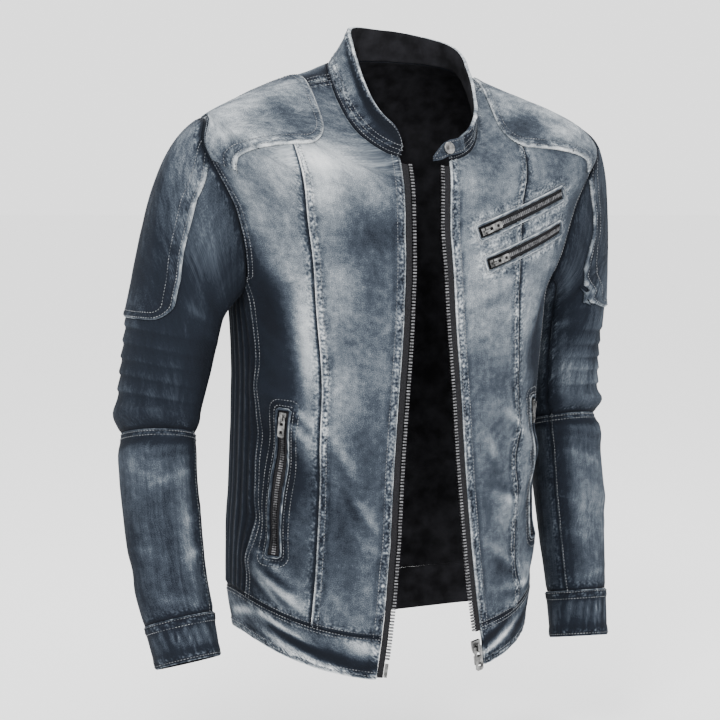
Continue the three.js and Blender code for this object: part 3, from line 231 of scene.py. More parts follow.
# Paler and darker areas on each sleeve: around, along, half sizes and tone. The dark row just below the elbow
# seam is a painted shadow under the fold above it.
sleeveTones = {
    -1: table("around at wide tall tone", [
        (30, -0.3, 60, 0.06, 0.3),
        (72, -0.2, 24, 0.09, 0.34),
        (10, -0.1, 50, 0.1, -0.2),
        (88, -0.03, 14, 0.07, 0.2),
        (60, 0.0, 24, 0.08, -0.3),
        (20, 0.12, 70, 0.1, -0.15),
        (120, 0.1, 30, 0.14, -0.5),
        (30, 0.3, 70, 0.03, -0.1),
        (60, 0.35, 90, 0.01, 0.1),
        # painted shadow below the elbow seam
        (60, 0.375, 90, 0.014, -0.5),
        (20, 0.5, 40, 0.1, 0.12),
        (108, 0.62, 14, 0.18, 0.4),
        (60, 0.93, 180, 0.05, 0.22),
        (60, 0.45, 50, 0.05, 0.16),
        (60, 0.75, 40, 0.1, 0.0),
        (0, 0.7, 30, 0.2, -0.2),
        (150, 0.5, 30, 0.2, -0.5),
    ]),
    1: table("around at wide tall tone", [
        (50, -0.3, 50, 0.05, 0.1),
        (60, -0.15, 60, 0.1, -0.45),
        (100, 0.0, 40, 0.12, -0.6),
        (60, 0.14, 60, 0.08, -0.35),
        (100, -0.1, 100, 0.16, 0.55),
        (110, 0.16, 110, 0.14, 0.55),
        (60, 0.6, 90, 0.25, 0.14),
        (60, 0.93, 180, 0.05, 0.25),
        (60, 0.27, 60, 0.05, -0.1),
        (60, 0.35, 90, 0.01, 0.1),
        # painted shadow below the elbow seam
        (60, 0.375, 90, 0.012, -0.5),
        (60, 0.55, 40, 0.12, 0.12),
        (90, 0.7, 40, 0.14, 0.12),
        (130, 0.55, 14, 0.3, -0.4),
    ]),
}


# Value of one column of a table at shares of its length, by a smooth curve that never overshoots
def column(rows, name, at):
    x, y = rows["at"], rows[name]
    span = np.diff(x)
    slope = np.diff(y) / span
    before, after = slope[:-1], slope[1:]
    same = before * after > 0
    inner = np.where(same, 2 * before * after / np.where(same, before + after, 1), 0)
    tangent = np.concatenate([slope[:1], inner, slope[-1:]])
    at = np.clip(np.asarray(at, float), x[0], x[-1])
    i = np.clip(np.searchsorted(x, at, side="right") - 1, 0, len(x) - 2)
    t = (at - x[i]) / span[i]
    ends = y[i] * (1 + 2 * t) * (1 - t) ** 2 + y[i + 1] * t * t * (3 - 2 * t)
    return ends + span[i] * t * (1 - t) * (tangent[i] * (1 - t) - tangent[i + 1] * t)


def mix(a, b, share):
    return a + (b - a) * share


def bell(distance, width):
    return np.exp(-((distance / width) ** 2))


def powerOf(x, p):
    return np.sign(x) * np.abs(x) ** p


def smooth(low, high, x):
    t = np.clip((x - low) / (high - low), 0, 1)
    return t * t * (3 - 2 * t)


def unit(v):
    return v / np.maximum(np.linalg.norm(v, axis=-1, keepdims=True), 1e-9)


# Smooth noise between -1 and 1 on a plane
def noise(x, y, number=0):
    grid = np.random.default_rng(seed + number).uniform(-1, 1, (128, 128))
    x, y = np.broadcast_arrays(np.asarray(x, float), np.asarray(y, float))
    xi, yi = np.floor(x).astype(int), np.floor(y).astype(int)
    fx, fy = smooth(0, 1, x - xi), smooth(0, 1, y - yi)
    at = lambda i, j: grid[(xi + i) % 128, (yi + j) % 128]
    return mix(mix(at(0, 0), at(1, 0), fx), mix(at(0, 1), at(1, 1), fx), fy)


# Sum of ridges and troughs that run from place to place
def ridges(rows, turn, at, acrossLength, length, names=("turn", "toTurn")):
    total = np.zeros(np.broadcast(turn, at).shape)
    first, last = names
    for k in range(len(rows["at"])):
        start = rows[first][k]
        x = ((turn - start + 180) % 360 - 180) * acrossLength
        y = (at - rows["at"][k]) * length
        alongX = (rows[last][k] - start) * acrossLength
        alongY = (rows["toAt"][k] - rows["at"][k]) * length
        share = np.clip((x * alongX + y * alongY) / (alongX**2 + alongY**2), 0, 1)
        distance = np.hypot(x - share * alongX, y - share * alongY)
        fade = 1 if rows is bodyFolds else 0.35 + 0.65 * np.sin(np.pi * np.clip(share, 0.02, 0.98))
        total = total + rows["rise"][k] * bell(distance, rows["width"][k]) * fade
    return total


def tonePatchesAt(rows, turn, at, name="turn"):
    total = np.zeros(np.broadcast(turn, at).shape)
    for k in range(len(rows["at"])):
        x = ((turn - rows[name][k] + 180) % 360 - 180) / rows["wide"][k]
        y = (at - rows["at"][k]) / rows["tall"][k]
        total = total + rows["tone"][k] * np.exp(-(x**2 + y**2))
    return total


def ringPoint(turn, at):
    angle = np.radians(turn)
    ahead = np.cos(angle)
    ring = lambda name: column(bodyRings, name, at)
    depth = np.where(ahead > 0, ring("front"), ring("back"))
    end = np.where(ahead > 0, ring("zFront"), ring("zBack"))
    level = np.abs(ahead)
    bend = np.where(ahead > 0, 0.5, 3)
    steep = (1 + bend) * level / (1 + bend * level)
    fall = mix(level**1.6, steep, ring("dip"))
    x = ring("x") + ring("side") * powerOf(np.sin(angle), 2 / ringPower)
    y = ring("y") - depth * powerOf(ahead, 2 / ringPower)
    z = mix(ring("zSide"), end, fall) - leftDrop * np.sin(angle) * bell(at - 0.9, 0.09)
    return np.stack(np.broadcast_arrays(x, y, z), -1)


def slopeNormal(point, turn, at):
    low, high = np.maximum(0, at - 0.002), np.minimum(1, at + 0.002)
    across = point(turn + 0.5, at) - point(turn - 0.5, at)
    up = point(turn, high) - point(turn, low)
    return unit(np.cross(across, up))


def bodySurface(turn, at):
    rise = ridges(bodyFolds, turn, at, degreeLength, bodyHeight)
    return ringPoint(turn, at) + slopeNormal(ringPoint, turn, at) * rise[..., None]


def bodyNormal(turn, at):
    return slopeNormal(bodySurface, turn, at)


def degreesFor(length, turn, at):
    step = bodySurface(turn + 0.5, at) - bodySurface(turn - 0.5, at)
    return length / np.linalg.norm(step, axis=-1)


def armholePlace(around):
    angle = np.radians(around)
    turn = armhole["turn"] - armhole["halfTurn"] * powerOf(np.sin(angle), 2 / armhole["power"])
    return turn, armhole["middle"] + armhole["halfRise"] * powerOf(np.cos(angle), 2 / armhole["power"])


sideSeamTop = armholePlace(armhole["sideSeamAt"])
shoulderTip = armholePlace(0)


def shoulderSeam(at):
    share = np.clip((at - shoulderTip[1]) / (1 - shoulderTip[1]), 0, 1)
    return mix(armhole["turn"], shoulderSeamAtNeck, share)


def armholeHalf(at):
    share = np.clip(np.abs(at - armhole["middle"]) / armhole["halfRise"], 0, 1)
    upper = np.arccos(share ** (armhole["power"] / 2))
    return armhole["halfTurn"] * np.abs(np.sin(upper)) ** (2 / armhole["power"])


def outerFront(at):
    seam = column(frontSeamTurns, "turn", at)
    seam = np.where(at <= sideSeamTop[1], seam, armhole["turn"] - armholeHalf(at))
    return np.where(at >= shoulderTip[1], shoulderSeam(at), seam)


def outerBack(at):
    seam = 2 * armhole["turn"] - column(frontSeamTurns, "turn", at)
    seam = np.where(at <= sideSeamTop[1], seam, armhole["turn"] + armholeHalf(at))
    return np.where(at >= shoulderTip[1], shoulderSeam(at), seam)


def turnAt(distance, at):
    share = distance / column(bodyRings, "side", at)
    inside = np.degrees(np.arcsin(np.clip(share, 0, 1) ** (ringPower / 2)))
    return np.where(share >= 1, 180, inside)


def frontEdge(sign, at):
    return turnAt(column(frontEdges, "right" if sign < 0 else "left", at), at)


def princess(sign, at):
    seam = turnAt(column(princessSeams, "right" if sign < 0 else "left", at), at)
    return np.minimum(seam, outerFront(at) - shortestPiece)


# Sleeve surface, as in the construction
def armCentre(sign, at):
    arm = rightArm if sign < 0 else leftArm
    parts = [sign * column(arm, "out", at), column(arm, "y", at), column(arm, "z", at)]
    return np.stack(np.broadcast_arrays(*parts), -1)


def tubePoint(sign, around, at):
    arm = rightArm if sign < 0 else leftArm
    around, at = np.broadcast_arrays(np.asarray(around, float), np.asarray(at, float))
    ahead = unit(armCentre(sign, np.minimum(1, at + 0.02)) - armCentre(sign, np.maximum(0, at - 0.02)))
    forward = unit(np.array([0, -1.0, 0]) + ahead * ahead[..., 1:2])
    outward = unit(np.cross(forward, ahead))
    outward = outward * np.sign(outward[..., :1] * sign)
    rise = np.zeros(at.shape)
    for k in range(len(sleeveFolds["at"])):
        turned = np.abs((around - sleeveFolds["turn"][k] + 540) % 360 - 180)
        reach = np.clip(1 - turned / sleeveFolds["reach"][k], 0, 1)
        along = (at - sleeveFolds["at"][k]) * sleeveLength
        rise = rise + sleeveFolds["rise"][k] * bell(along, sleeveFolds["width"][k]) * reach
    angle = np.radians(around)
    wide = (column(arm, "wide", at) + rise) * np.cos(angle)
    deep = (column(arm, "deep", at) + rise) * np.sin(angle)
    return armCentre(sign, at) + outward * wide[..., None] + forward * deep[..., None]


def leaving(sign, around):
    pointOf = lambda angle: bodySurface(sign * armholePlace(angle)[0], armholePlace(angle)[1])
    turn, at = armholePlace(around)
    point = pointOf(around)
    normal = bodyNormal(sign * turn, at)
    intoHole = unit(np.cross(pointOf(around + 1) - pointOf(around - 1), normal))
    middle = bodySurface(np.array(sign * armhole["turn"] * 1.0), np.array(armhole["middle"]))
    facing = np.sign(np.sum(intoHole * (middle - point), -1, keepdims=True))
    intoHole = intoHole * facing
    under = (1 - np.cos(np.radians(around))) / 2
    lean = np.radians(mix(leaveAtTop, leaveAtUnderarm, under**0.9))[..., None]
    turned = lambda angle: intoHole * np.cos(angle) + normal * np.sin(angle)
    return point, turned(lean), turned(lean / 2)


def sleeveSurface(sign, around, at):
    around, at = np.broadcast_arrays(np.asarray(around, float), np.asarray(at, float))
    tube = tubePoint(sign, around, np.maximum(at, 0))
    point, direction, between = leaving(sign, around)
    start = point + between * seamGap
    end = tubePoint(sign, around, np.zeros_like(at))
    endDirection = unit(armCentre(sign, 0.04) - armCentre(sign, 0))
    span = np.linalg.norm(end - start, axis=-1, keepdims=True)
    top = (1 + np.cos(np.radians(around))) / 2
    bulge = mix(0.9, capBulge[sign], top)[..., None]
    t = np.clip(1 + at / capShare, 0, 1)[..., None]
    cap = start * (1 + 2 * t) * (1 - t) ** 2 + end * t * t * (3 - 2 * t)
    cap = cap + direction * span * bulge * t * (1 - t) ** 2 - endDirection * span * 0.9 * t * t * (1 - t)
    return np.where((at >= 0)[..., None], tube, cap)


def sleeveNormal(sign, around, at):
    low, high = np.maximum(-capShare, at - 0.004), np.minimum(1, at + 0.004)
    across = sleeveSurface(sign, around + 1, at) - sleeveSurface(sign, around - 1, at)
    down = sleeveSurface(sign, around, high) - sleeveSurface(sign, around, low)
    return -sign * unit(np.cross(down, across))


# Tucks above the elbow: each rises slowly down the sleeve and ends in a step
elbowTucks = {"first": 0.055, "last": 0.245, "count": 5, "rise": 2.2}


def tuckRise(around, at):
    centres = np.linspace(elbowTucks["first"], elbowTucks["last"], elbowTucks["count"])
    places = [(-0.05, 0.0)]
    for centre in centres:
        places += [(centre - 0.004, 1.0), (centre + 0.004, 0.0)]
    places += [(0.295, 1.0), (elbowSeam, 0.0)]
    knots, values = np.array(places).T
    edge = np.interp(at, knots, values)
    facing = np.clip(1.15 - np.abs((around + 180) % 360 - 180) / 125, 0, 1)
    return edge * elbowTucks["rise"] * np.minimum(1, facing * 1.6)


# Shares along an edge of a given length, closer together at both ends
def spaced(length, step=3.2):
    near = np.array([0, 0.6, 1.5]) / length
    count = max(2, int(round(length / step)))
    inner = np.linspace(0, 1, count + 1)
    inner = inner[(inner * length > 2.4) & ((1 - inner) * length > 2.4)]
    return np.unique(np.concatenate([near, inner, 1 - near]))


# How cloth lies at the edges of a piece. ridge and width are the height and reach of the seam allowance,
# pucker the height of the waves that its sewing draws up, the first tone that of the edge itself: pale real
# wear where it is positive, painted shade at the sunk edge of the under kind where it is negative. band is the
# tone over the allowance, and beyond a line of painted shade at the foot of the allowance.
edgeLooks = {
    "felled": {"ridge": 1.0, "width": 7.5, "pucker": 0.6, "worn": 0.85, "band": 0.05, "beyond": -0.26},
    "under": {"ridge": -0.6, "width": 2.0, "pucker": 0.3, "worn": -0.9, "band": -0.15, "beyond": -0.1},
    "quiet": {"ridge": 0.7, "width": 7.5, "pucker": 0.3, "worn": 0.4, "band": -0.06, "beyond": -0.22},
    "piped": {"ridge": 0.8, "width": 5.0, "pucker": 0.2, "worn": 1.0, "band": 0.0, "beyond": -0.16},
    "open": {"ridge": 0.5, "width": 9.0, "pucker": 0.7, "worn": 0.7, "band": 0.05, "beyond": -0.3},
    "plain": {"ridge": 0.0, "width": 2.0, "pucker": 0.12, "worn": 0.1, "band": 0.0, "beyond": 0.0},
}


def edgeEffect(kind, distance, along, number):
    look = edgeLooks[kind]
    width = look["width"]
    ridge = look["ridge"] * (smooth(-0.4, 1.4, distance) - smooth(width, width + 2.4, distance))
    wave = noise(along / 5.2 + distance * 0.09, distance / 16 + number, number)
    sewn = min(1, look["pucker"] / 0.5) * bell(distance - 4.8, 4.2)
    pucker = look["pucker"] * wave * bell(distance - 4.5, 5.5)
    roll = -0.55 * bell(distance, 0.8)
    patchy = 0.6 + 0.4 * noise(along / 9, 0.5 + number, number + 3)
    # Edge tone: pale real wear where positive, painted shade at a sunk edge where negative; past the allowance
    # a line of painted shade
    tone = look["worn"] * bell(distance - 0.6, 1.1) * patchy
    tone = tone + look["band"] * (1 - smooth(width - 1, width + 1, distance))
    tone = tone + look["beyond"] * bell(distance - width - 2.4, 2.6) * patchy
    tone = tone + 0.3 * wave * sewn - 0.35 * min(1, look["pucker"] * 3) * bell(distance - 2.1, 0.9)
    return ridge + pucker + roll, tone, sewn


def node(tree, kind, **settings):
    made = tree.nodes.new(kind)
    for name, value in settings.items():
        setattr(made, name, value)
    return made


def link(tree, source, target):
    tree.links.new(source, target)


def maths(tree, operation, first, second=None):
    made = node(tree, "ShaderNodeMath", operation=operation)
    for place, value in enumerate([first, second]):
        if isinstance(value, (int, float)):
            made.inputs[place].default_value = value
        elif value is not None:
            link(tree, value, made.inputs[place])
    return made.outputs[0]


def newMaterial(name):
    material = bpy.data.materials.new(name)
    material.use_nodes = True
    tree = material.node_tree
    return material, tree, tree.nodes["Principled BSDF"]


def noiseOn(tree, coords, scale, stretch=(1, 1, 1), detail=2.0):
    mapping = node(tree, "ShaderNodeMapping")
    mapping.inputs["Scale"].default_value = stretch
    link(tree, coords, mapping.inputs["Vector"])
    made = node(tree, "ShaderNodeTexNoise")
    made.inputs["Scale"].default_value = scale
    made.inputs["Detail"].default_value = detail
    link(tree, mapping.outputs[0], made.inputs["Vector"])
    return made.outputs["Fac"]


# Washed denim: tone and sewn seams from the mesh, then mottling, streaks and grain, into one ramp
denimLooks = {
    "denim": {"base": -0.01, "mottle": 0.5, "streak": 0.14, "grain": 0.7},
    "dark": {"base": -0.62, "mottle": 0.4, "streak": 0.2, "grain": 0.5},
    "sleeve": {"base": -0.4, "mottle": 0.42, "streak": 0.2, "grain": 0.7},
    "forearm": {"base": -0.22, "mottle": 0.42, "streak": 0.3, "grain": 0.7},
    "patch": {"base": -0.12, "mottle": 0.6, "streak": 0.22, "grain": 0.8},
}
washRamp = [
    (0.0, (0.006, 0.0075, 0.011)), (0.28, (0.009, 0.012, 0.018)), (0.45, (0.036, 0.045, 0.059)),
    (0.58, (0.12, 0.138, 0.157)), (0.72, (0.32, 0.345, 0.365)), (0.88, (0.56, 0.58, 0.59)),
    (1.0, (0.76, 0.77, 0.77)),
]


def denimMaterial(name, base, mottle, streak, grain):
    material, tree, shader = newMaterial(name)
    coords = node(tree, "ShaderNodeUVMap", uv_map="UVMap").outputs[0]
    tone = node(tree, "ShaderNodeAttribute", attribute_name="tone").outputs["Fac"]
    layers = [
        (noiseOn(tree, coords, 30, detail=3), mottle), (noiseOn(tree, coords, 130, detail=3), mottle * 0.9),
        (noiseOn(tree, coords, 40, (14, 1, 1)), streak), (noiseOn(tree, coords, 1000, detail=1), grain),
    ]
    sewn = node(tree, "ShaderNodeAttribute", attribute_name="sewn").outputs["Fac"]
    puckers = maths(tree, "SUBTRACT", noiseOn(tree, coords, 330, detail=0), 0.52)
    total = maths(tree, "ADD", tone, base)
    puckers = maths(tree, "MULTIPLY", sewn, puckers)
    total = maths(tree, "ADD", total, maths(tree, "MULTIPLY", puckers, 1.5))
    for fac, strength in layers:
        swing = maths(tree, "MULTIPLY", maths(tree, "SUBTRACT", fac, 0.5), strength)
        total = maths(tree, "ADD", total, swing)
    ramp = node(tree, "ShaderNodeValToRGB")
    link(tree, maths(tree, "MULTIPLY", maths(tree, "ADD", total, 1.0), 0.5), ramp.inputs[0])
    stops = ramp.color_ramp.elements
    while len(stops) < len(washRamp):
        stops.new(0.5)
    for stop, (place, colour) in zip(stops, washRamp):
        stop.position = place
        stop.color = (*colour, 1)
    link(tree, ramp.outputs[0], shader.inputs["Base Color"])
    shader.inputs["Roughness"].default_value = 0.88
    shader.inputs["Specular IOR Level"].default_value = 0.08
    twill = node(tree, "ShaderNodeTexWave", wave_type="BANDS", bands_direction="DIAGONAL")
    twill.inputs["Scale"].default_value = 260
    link(tree, coords, twill.inputs["Vector"])
    height = maths(tree, "ADD", maths(tree, "MULTIPLY", twill.outputs["Fac"], 0.35), layers[3][0])
    height = maths(tree, "ADD", height, maths(tree, "MULTIPLY", layers[1][0], 1.6))
    height = maths(tree, "ADD", height, maths(tree, "MULTIPLY", puckers, 2.4))
    bump = node(tree, "ShaderNodeBump")
    bump.inputs["Strength"].default_value = 0.55
    bump.inputs["Distance"].default_value = 0.0007
    link(tree, height, bump.inputs["Height"])
    link(tree, bump.outputs[0], shader.inputs["Normal"])
    return material


def plainMaterial(name, dark, pale, roughness, metallic=0.0, scale=60, bumpHeight=0.0002):
    material, tree, shader = newMaterial(name)
    coords = node(tree, "ShaderNodeTexCoord").outputs["Object"]
    patchy = noiseOn(tree, coords, scale, detail=4)
    ramp = node(tree, "ShaderNodeValToRGB")
    ramp.color_ramp.elements[0].position = 0.35
    ramp.color_ramp.elements[0].color = (*dark, 1)
    ramp.color_ramp.elements[1].position = 0.68
    ramp.color_ramp.elements[1].color = (*pale, 1)
    link(tree, patchy, ramp.inputs[0])
    link(tree, ramp.outputs[0], shader.inputs["Base Color"])
    shader.inputs["Roughness"].default_value = roughness
    shader.inputs["Metallic"].default_value = metallic
    shader.inputs["Specular IOR Level"].default_value = 0.5 if metallic else 0.08
    bump = node(tree, "ShaderNodeBump")
    bump.inputs["Strength"].default_value = 0.4
    bump.inputs["Distance"].default_value = bumpHeight
    link(tree, patchy, bump.inputs["Height"])
    link(tree, bump.outputs[0], shader.inputs["Normal"])
    return material


materials = {name: denimMaterial(f"denim_{name}", **look) for name, look in denimLooks.items()}
# Near-black inside faces: the shade inside the jacket is painted into the cloth's colour
materials["inside"] = plainMaterial("denim_inside_painted_shade", (0.007, 0.007, 0.008), (0.018, 0.018, 0.021), 0.97)
materials["tape"] = plainMaterial("zip_tape", (0.008, 0.008, 0.009), (0.02, 0.02, 0.022), 0.9, scale=900)
materials["metal"] = plainMaterial("aged_metal", (0.06, 0.06, 0.06), (0.3, 0.3, 0.295), 0.34, 1.0, 160)
materials["teeth"] = plainMaterial("gunmetal", (0.05, 0.05, 0.053), (0.24, 0.24, 0.25), 0.38, 1.0, 300)
materials["thread"] = plainMaterial("thread", (0.05, 0.056, 0.065), (0.24, 0.25, 0.26), 0.8, scale=90)


# Signed distance to a closed outline (negative inside), place along it and nearest point
def outlineField(flat, outline):
    start = np.asarray(outline, float)
    end = np.roll(start, -1, 0)
    along = end - start
    lengths = np.linalg.norm(along, axis=1)
    marks = np.concatenate([[0], np.cumsum(lengths)[:-1]])
    q = flat[..., None, :]
    share = np.clip(np.sum((q - start) * along, -1) / lengths**2, 0, 1)
    nearest = start + share[..., None] * along
    gaps = np.linalg.norm(q - nearest, axis=-1)
    best = np.argmin(gaps, -1)
    pick = lambda values: np.take_along_axis(values, best[..., None], -1)[..., 0]
    crosses = (start[:, 1] > q[..., 1]) != (end[:, 1] > q[..., 1])
    rise = np.where(np.abs(along[:, 1]) < 1e-9, 1e-9, along[:, 1])
    left = q[..., 0] < start[:, 0] + (q[..., 1] - start[:, 1]) * along[:, 0] / rise
    inside = np.sum(crosses & left, -1) % 2 == 1
    where = pick(marks + share * lengths)
    point = np.take_along_axis(nearest, best[..., None, None], -2)[..., 0, :]
    return np.where(inside, -1, 1) * pick(gaps), where, point


def corners(grid):
    return grid[:-1, :-1], grid[:-1, 1:], grid[1:, 1:], grid[1:, :-1]


# Keeps the cells inside (or outside) an outline and moves the cells' corners at its edge onto it
def cutGrid(part, flat, outline, keepInside):
    u, v, place = part["u"], part["v"], part["place"]
    q = flat(place(u, v))
    centre = sum(corners(q)) / 4
    inside = outlineField(centre, outline)[0] < 0
    keep = part["keep"] & (inside == keepInside)
    gone = part["keep"] & ~keep
    touched = lambda cells: np.pad(cells, ((0, 1), (0, 1))) | np.pad(cells, ((1, 0), (0, 1))) | np.pad(
        cells, ((0, 1), (1, 0))) | np.pad(cells, ((1, 0), (1, 0)))
    border = touched(keep) & touched(gone)
    fixed = np.zeros(u.shape, bool)
    fixed[:, 0] = fixed[:, -1] = True
    a, b, held = u[border], v[border], fixed[border]
    for _ in range(4):
        here = flat(place(a, b))
        want = outlineField(here, outline)[2] - here
        du = (flat(place(a + 0.3, b)) - here) / 0.3
        dv = (flat(place(a, b + 0.001)) - here) / 0.001
        det = du[:, 0] * dv[:, 1] - dv[:, 0] * du[:, 1]
        det = np.where(np.abs(det) < 1e-6, 1e-6, det)
        stepU = (want[:, 0] * dv[:, 1] - dv[:, 0] * want[:, 1]) / det
        stepV = (du[:, 0] * want[:, 1] - want[:, 0] * du[:, 1]) / det
        alone = np.sum(want * dv, 1) / np.maximum(np.sum(dv * dv, 1), 1e-6)
        a = a + np.where(held, 0, np.clip(stepU, -2, 2))
        b = b + np.where(held, np.clip(alone, -0.006, 0.006), np.clip(stepV, -0.008, 0.008))
    u[border], v[border] = a, b
    part["keep"] = keep


def makeMesh(name, points, faces, fields, surfaces, faceMaterials=None, smoothFaces=True):
    mesh = bpy.data.meshes.new(name)
    mesh.from_pydata((np.asarray(points) * mm).tolist(), [], np.asarray(faces).tolist())
    for field, values in fields.items():
        if field == "UVMap":
            layer = mesh.uv_layers.new(name="UVMap")
            ends = np.empty(len(mesh.loops), np.int32)
            mesh.loops.foreach_get("vertex_index", ends)
            layer.data.foreach_set("uv", (np.asarray(values) * mm)[ends].astype(np.float32).ravel())
        else:
            layer = mesh.attributes.new(field, "FLOAT", "POINT")
            layer.data.foreach_set("value", np.asarray(values, np.float32).ravel())
    for surface in surfaces:
        mesh.materials.append(surface)
    if faceMaterials is not None:
        mesh.polygons.foreach_set("material_index", np.asarray(faceMaterials, np.int32))
    mesh.polygons.foreach_set("use_smooth", np.full(len(mesh.polygons), smoothFaces))
    mesh.update()
    piece = bpy.data.objects.new(name, mesh)
    bpy.context.scene.collection.objects.link(piece)
    return piece


# Closed wall from quads of outer points: the same quads turned round for the inside, and rims at every edge
def closedWall(name, outer, inner, quads, fields, surfaces):
    used, quads = np.unique(quads, return_inverse=True)
    quads = quads.reshape(-1, 4)
    outer, inner = outer[used], inner[used]
    count = len(used)
    a = quads.ravel()
    b = np.roll(quads, -1, 1).ravel()
    single = ~np.isin(a.astype(np.int64) * count + b, b.astype(np.int64) * count + a) & (a != b)
    a, b = a[single], b[single]
    rims = np.stack([b, a, a + count, b + count], -1)
    faces = np.concatenate([quads, quads[:, ::-1] + count, rims])
    inside = np.concatenate([np.zeros(len(quads)), np.ones(len(quads)), np.zeros(len(rims))]).astype(int)
    doubled = {key: np.concatenate([values[used]] * 2) for key, values in fields.items()}
    return makeMesh(name, np.concatenate([outer, inner]), faces, doubled, surfaces, inside)


def arcs(points, axis):
    steps = np.linalg.norm(np.diff(points, axis=axis), axis=-1)
    start = np.zeros_like(np.take(steps, [0], axis=axis))
    return np.concatenate([start, np.cumsum(steps, axis=axis)], axis=axis)


# Turns a mesh's faces outwards, after joining the corners that meet
def turnOut(piece, joined=0.0):
    work = bmesh.new()
    work.from_mesh(piece.data)
    if joined:
        bmesh.ops.remove_doubles(work, verts=work.verts, dist=joined)
    bmesh.ops.recalc_face_normals(work, faces=work.faces)
    work.to_mesh(piece.data)
    work.free()


# Gives a piece zip tape on both sides
def tapeOn(piece):
    for place in (0, 1):
        piece.data.materials[place] = materials["tape"]


panels = {}


# Lays a grid out: its base points, normals, lengths along both ways and distances to its edges
def layOut(part):
    points = part["place"](part["u"], part["v"])
    normals = part["normal"](part["u"], part["v"])
    across, along = arcs(points, 1), arcs(points, 0)
    part.update(points=points, normals=normals, across=across, along=along)
    part["fields"] = {
        "start": (across, along), "end": (across[:, -1:] - across, along + 50),
        "low": (along, across), "high": (along[-1:] - along, across + 90),
    }


# A piece of cloth from one or more grids. edges says how each edge lies, height and tone are extra fields.
def cloth(name, parts, look, edges, thickness=wall, lift=0.0, crumple=1.0, number=0,
          flip=False, tube=False, innerLift=None, cut=None):
    outers, inners, quadList, start = [], [], [], 0
    fields = {"tone": [], "sewn": [], "UVMap": []}
    sizes = []
    for part in parts:
        across, along = part["across"], part["along"]
        height = np.zeros(across.shape) + part.get("height", 0.0)
        tone = np.zeros(across.shape) + part.get("tone", 0.0)
        sewn = np.zeros(across.shape) + part.get("sewn", 0.0)
        for place, kind in {**edges, **part.get("edges", {})}.items():
            distance, beside = part["fields"][place]
            bump, shade, mask = edgeEffect(kind, distance, beside, number + len(place) * 7)
            height, tone, sewn = height + bump, tone + shade, np.maximum(sewn, mask)
        broad = noise(across / 34, along / 46, number + 20)
        fine = noise(across / 13, along / 18, number + 21)
        height = height + crumple * (0.5 * broad + 0.25 * fine)
        tone = tone + crumple * (0.06 * broad + 0.05 * fine)
        calm = part.get("calm", 1.0)
        height = height * calm + part.get("late", 0.0)
        part["outer"] = part["points"] + part["normals"] * (height + lift)[..., None]
        below = -thickness + lift if innerLift is None else innerLift
        inner = part["points"] + part["normals"] * (below + np.minimum(0, height))[..., None]
        rows, cols = across.shape
        index = np.arange(rows * cols).reshape(rows, cols) + start
        keep = part["keep"]
        if tube:
            wrap = np.concatenate([index, index[:, :1]], 1)
            quads = np.stack(corners(wrap), -1).reshape(-1, 4)
        else:
            quads = np.stack(corners(index), -1)[keep]
        if flip:
            quads = quads[:, ::-1]
        p = corners(part["outer"] if cut else part["points"])
        if tube:
            closing = np.linalg.norm(part["points"][:, 0] - part["points"][:, -1], axis=-1)
            sizes.append((np.max(across[:, -1] + closing), np.max(along)))
        else:
            wide = np.linalg.norm(p[1] - p[0], axis=-1) * keep
            tall = np.linalg.norm(p[3] - p[0], axis=-1) * keep
            sizes.append((np.max(np.sum(wide, 1)), np.max(np.sum(tall, 0))))
        outers.append(part["outer"].reshape(-1, 3))
        inners.append(inner.reshape(-1, 3))
        fields["tone"].append(tone.ravel())
        fields["sewn"].append(sewn.ravel())
        fields["UVMap"].append(np.stack([across.ravel(), along.ravel() + start % 97], -1))
        quadList.append(quads)
        start += rows * cols
    outer, inner = np.concatenate(outers), np.concatenate(inners)
    quads = np.concatenate(quadList)
    if len(parts) > 1:
        _, first, same = np.unique(np.round(outer * 20), axis=0, return_index=True, return_inverse=True)
        quads = first[same.ravel()][quads]
    joined = {key: np.concatenate(values) for key, values in fields.items()}
    piece = closedWall(f"{name}_cloth", outer, inner, quads, joined, [materials[look], materials["inside"]])
    width = sum(size[0] for size in sizes)
    length = max(size[1] for size in sizes)
    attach(piece, "jacket")
    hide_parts(name)
    width, length = cut or (max(width, 10.1), length)
    panels[name] = parts
    print(f"{name}: {len(piece.data.polygons)} faces, {width:.0f} x {length:.0f} mm")
    return piece


def gridPart(u, v, place, normal):
    keep = np.ones((u.shape[0] - 1, u.shape[1] - 1), bool)
    return {"u": u.copy(), "v": v.copy(), "place": place, "normal": normal, "keep": keep}


# Heights evenly spaced along the cloth at one turn
def heightsBetween(low, high, turn, step=3.2):
    at = np.linspace(low, high, 400)
    length = arcs(bodySurface(np.full(400, float(turn)), at)[:, None], 0)[:, 0]
    inset = 0.5 * seamGap / length[-1]
    shares = inset + (1 - 2 * inset) * spaced(length[-1], step)
    return np.interp(shares * length[-1], length, at)


def bodyPart(heights, start, end, step=3.2, inset=True):
    a, b = start(heights), end(heights)
    middle = len(heights) // 2
    wide = np.linalg.norm(np.diff(bodySurface(
        np.linspace(a[middle], b[middle], 60), np.full(60, heights[middle])), axis=0), axis=1).sum()
    edge = 0.5 * seamGap / wide if inset else 0
    shares = edge + (1 - 2 * edge) * spaced(wide, step)
    u = a[:, None] + (b - a)[:, None] * shares
    v = np.repeat(heights[:, None], len(shares), 1)
    return gridPart(u, v, bodySurface, bodyNormal)


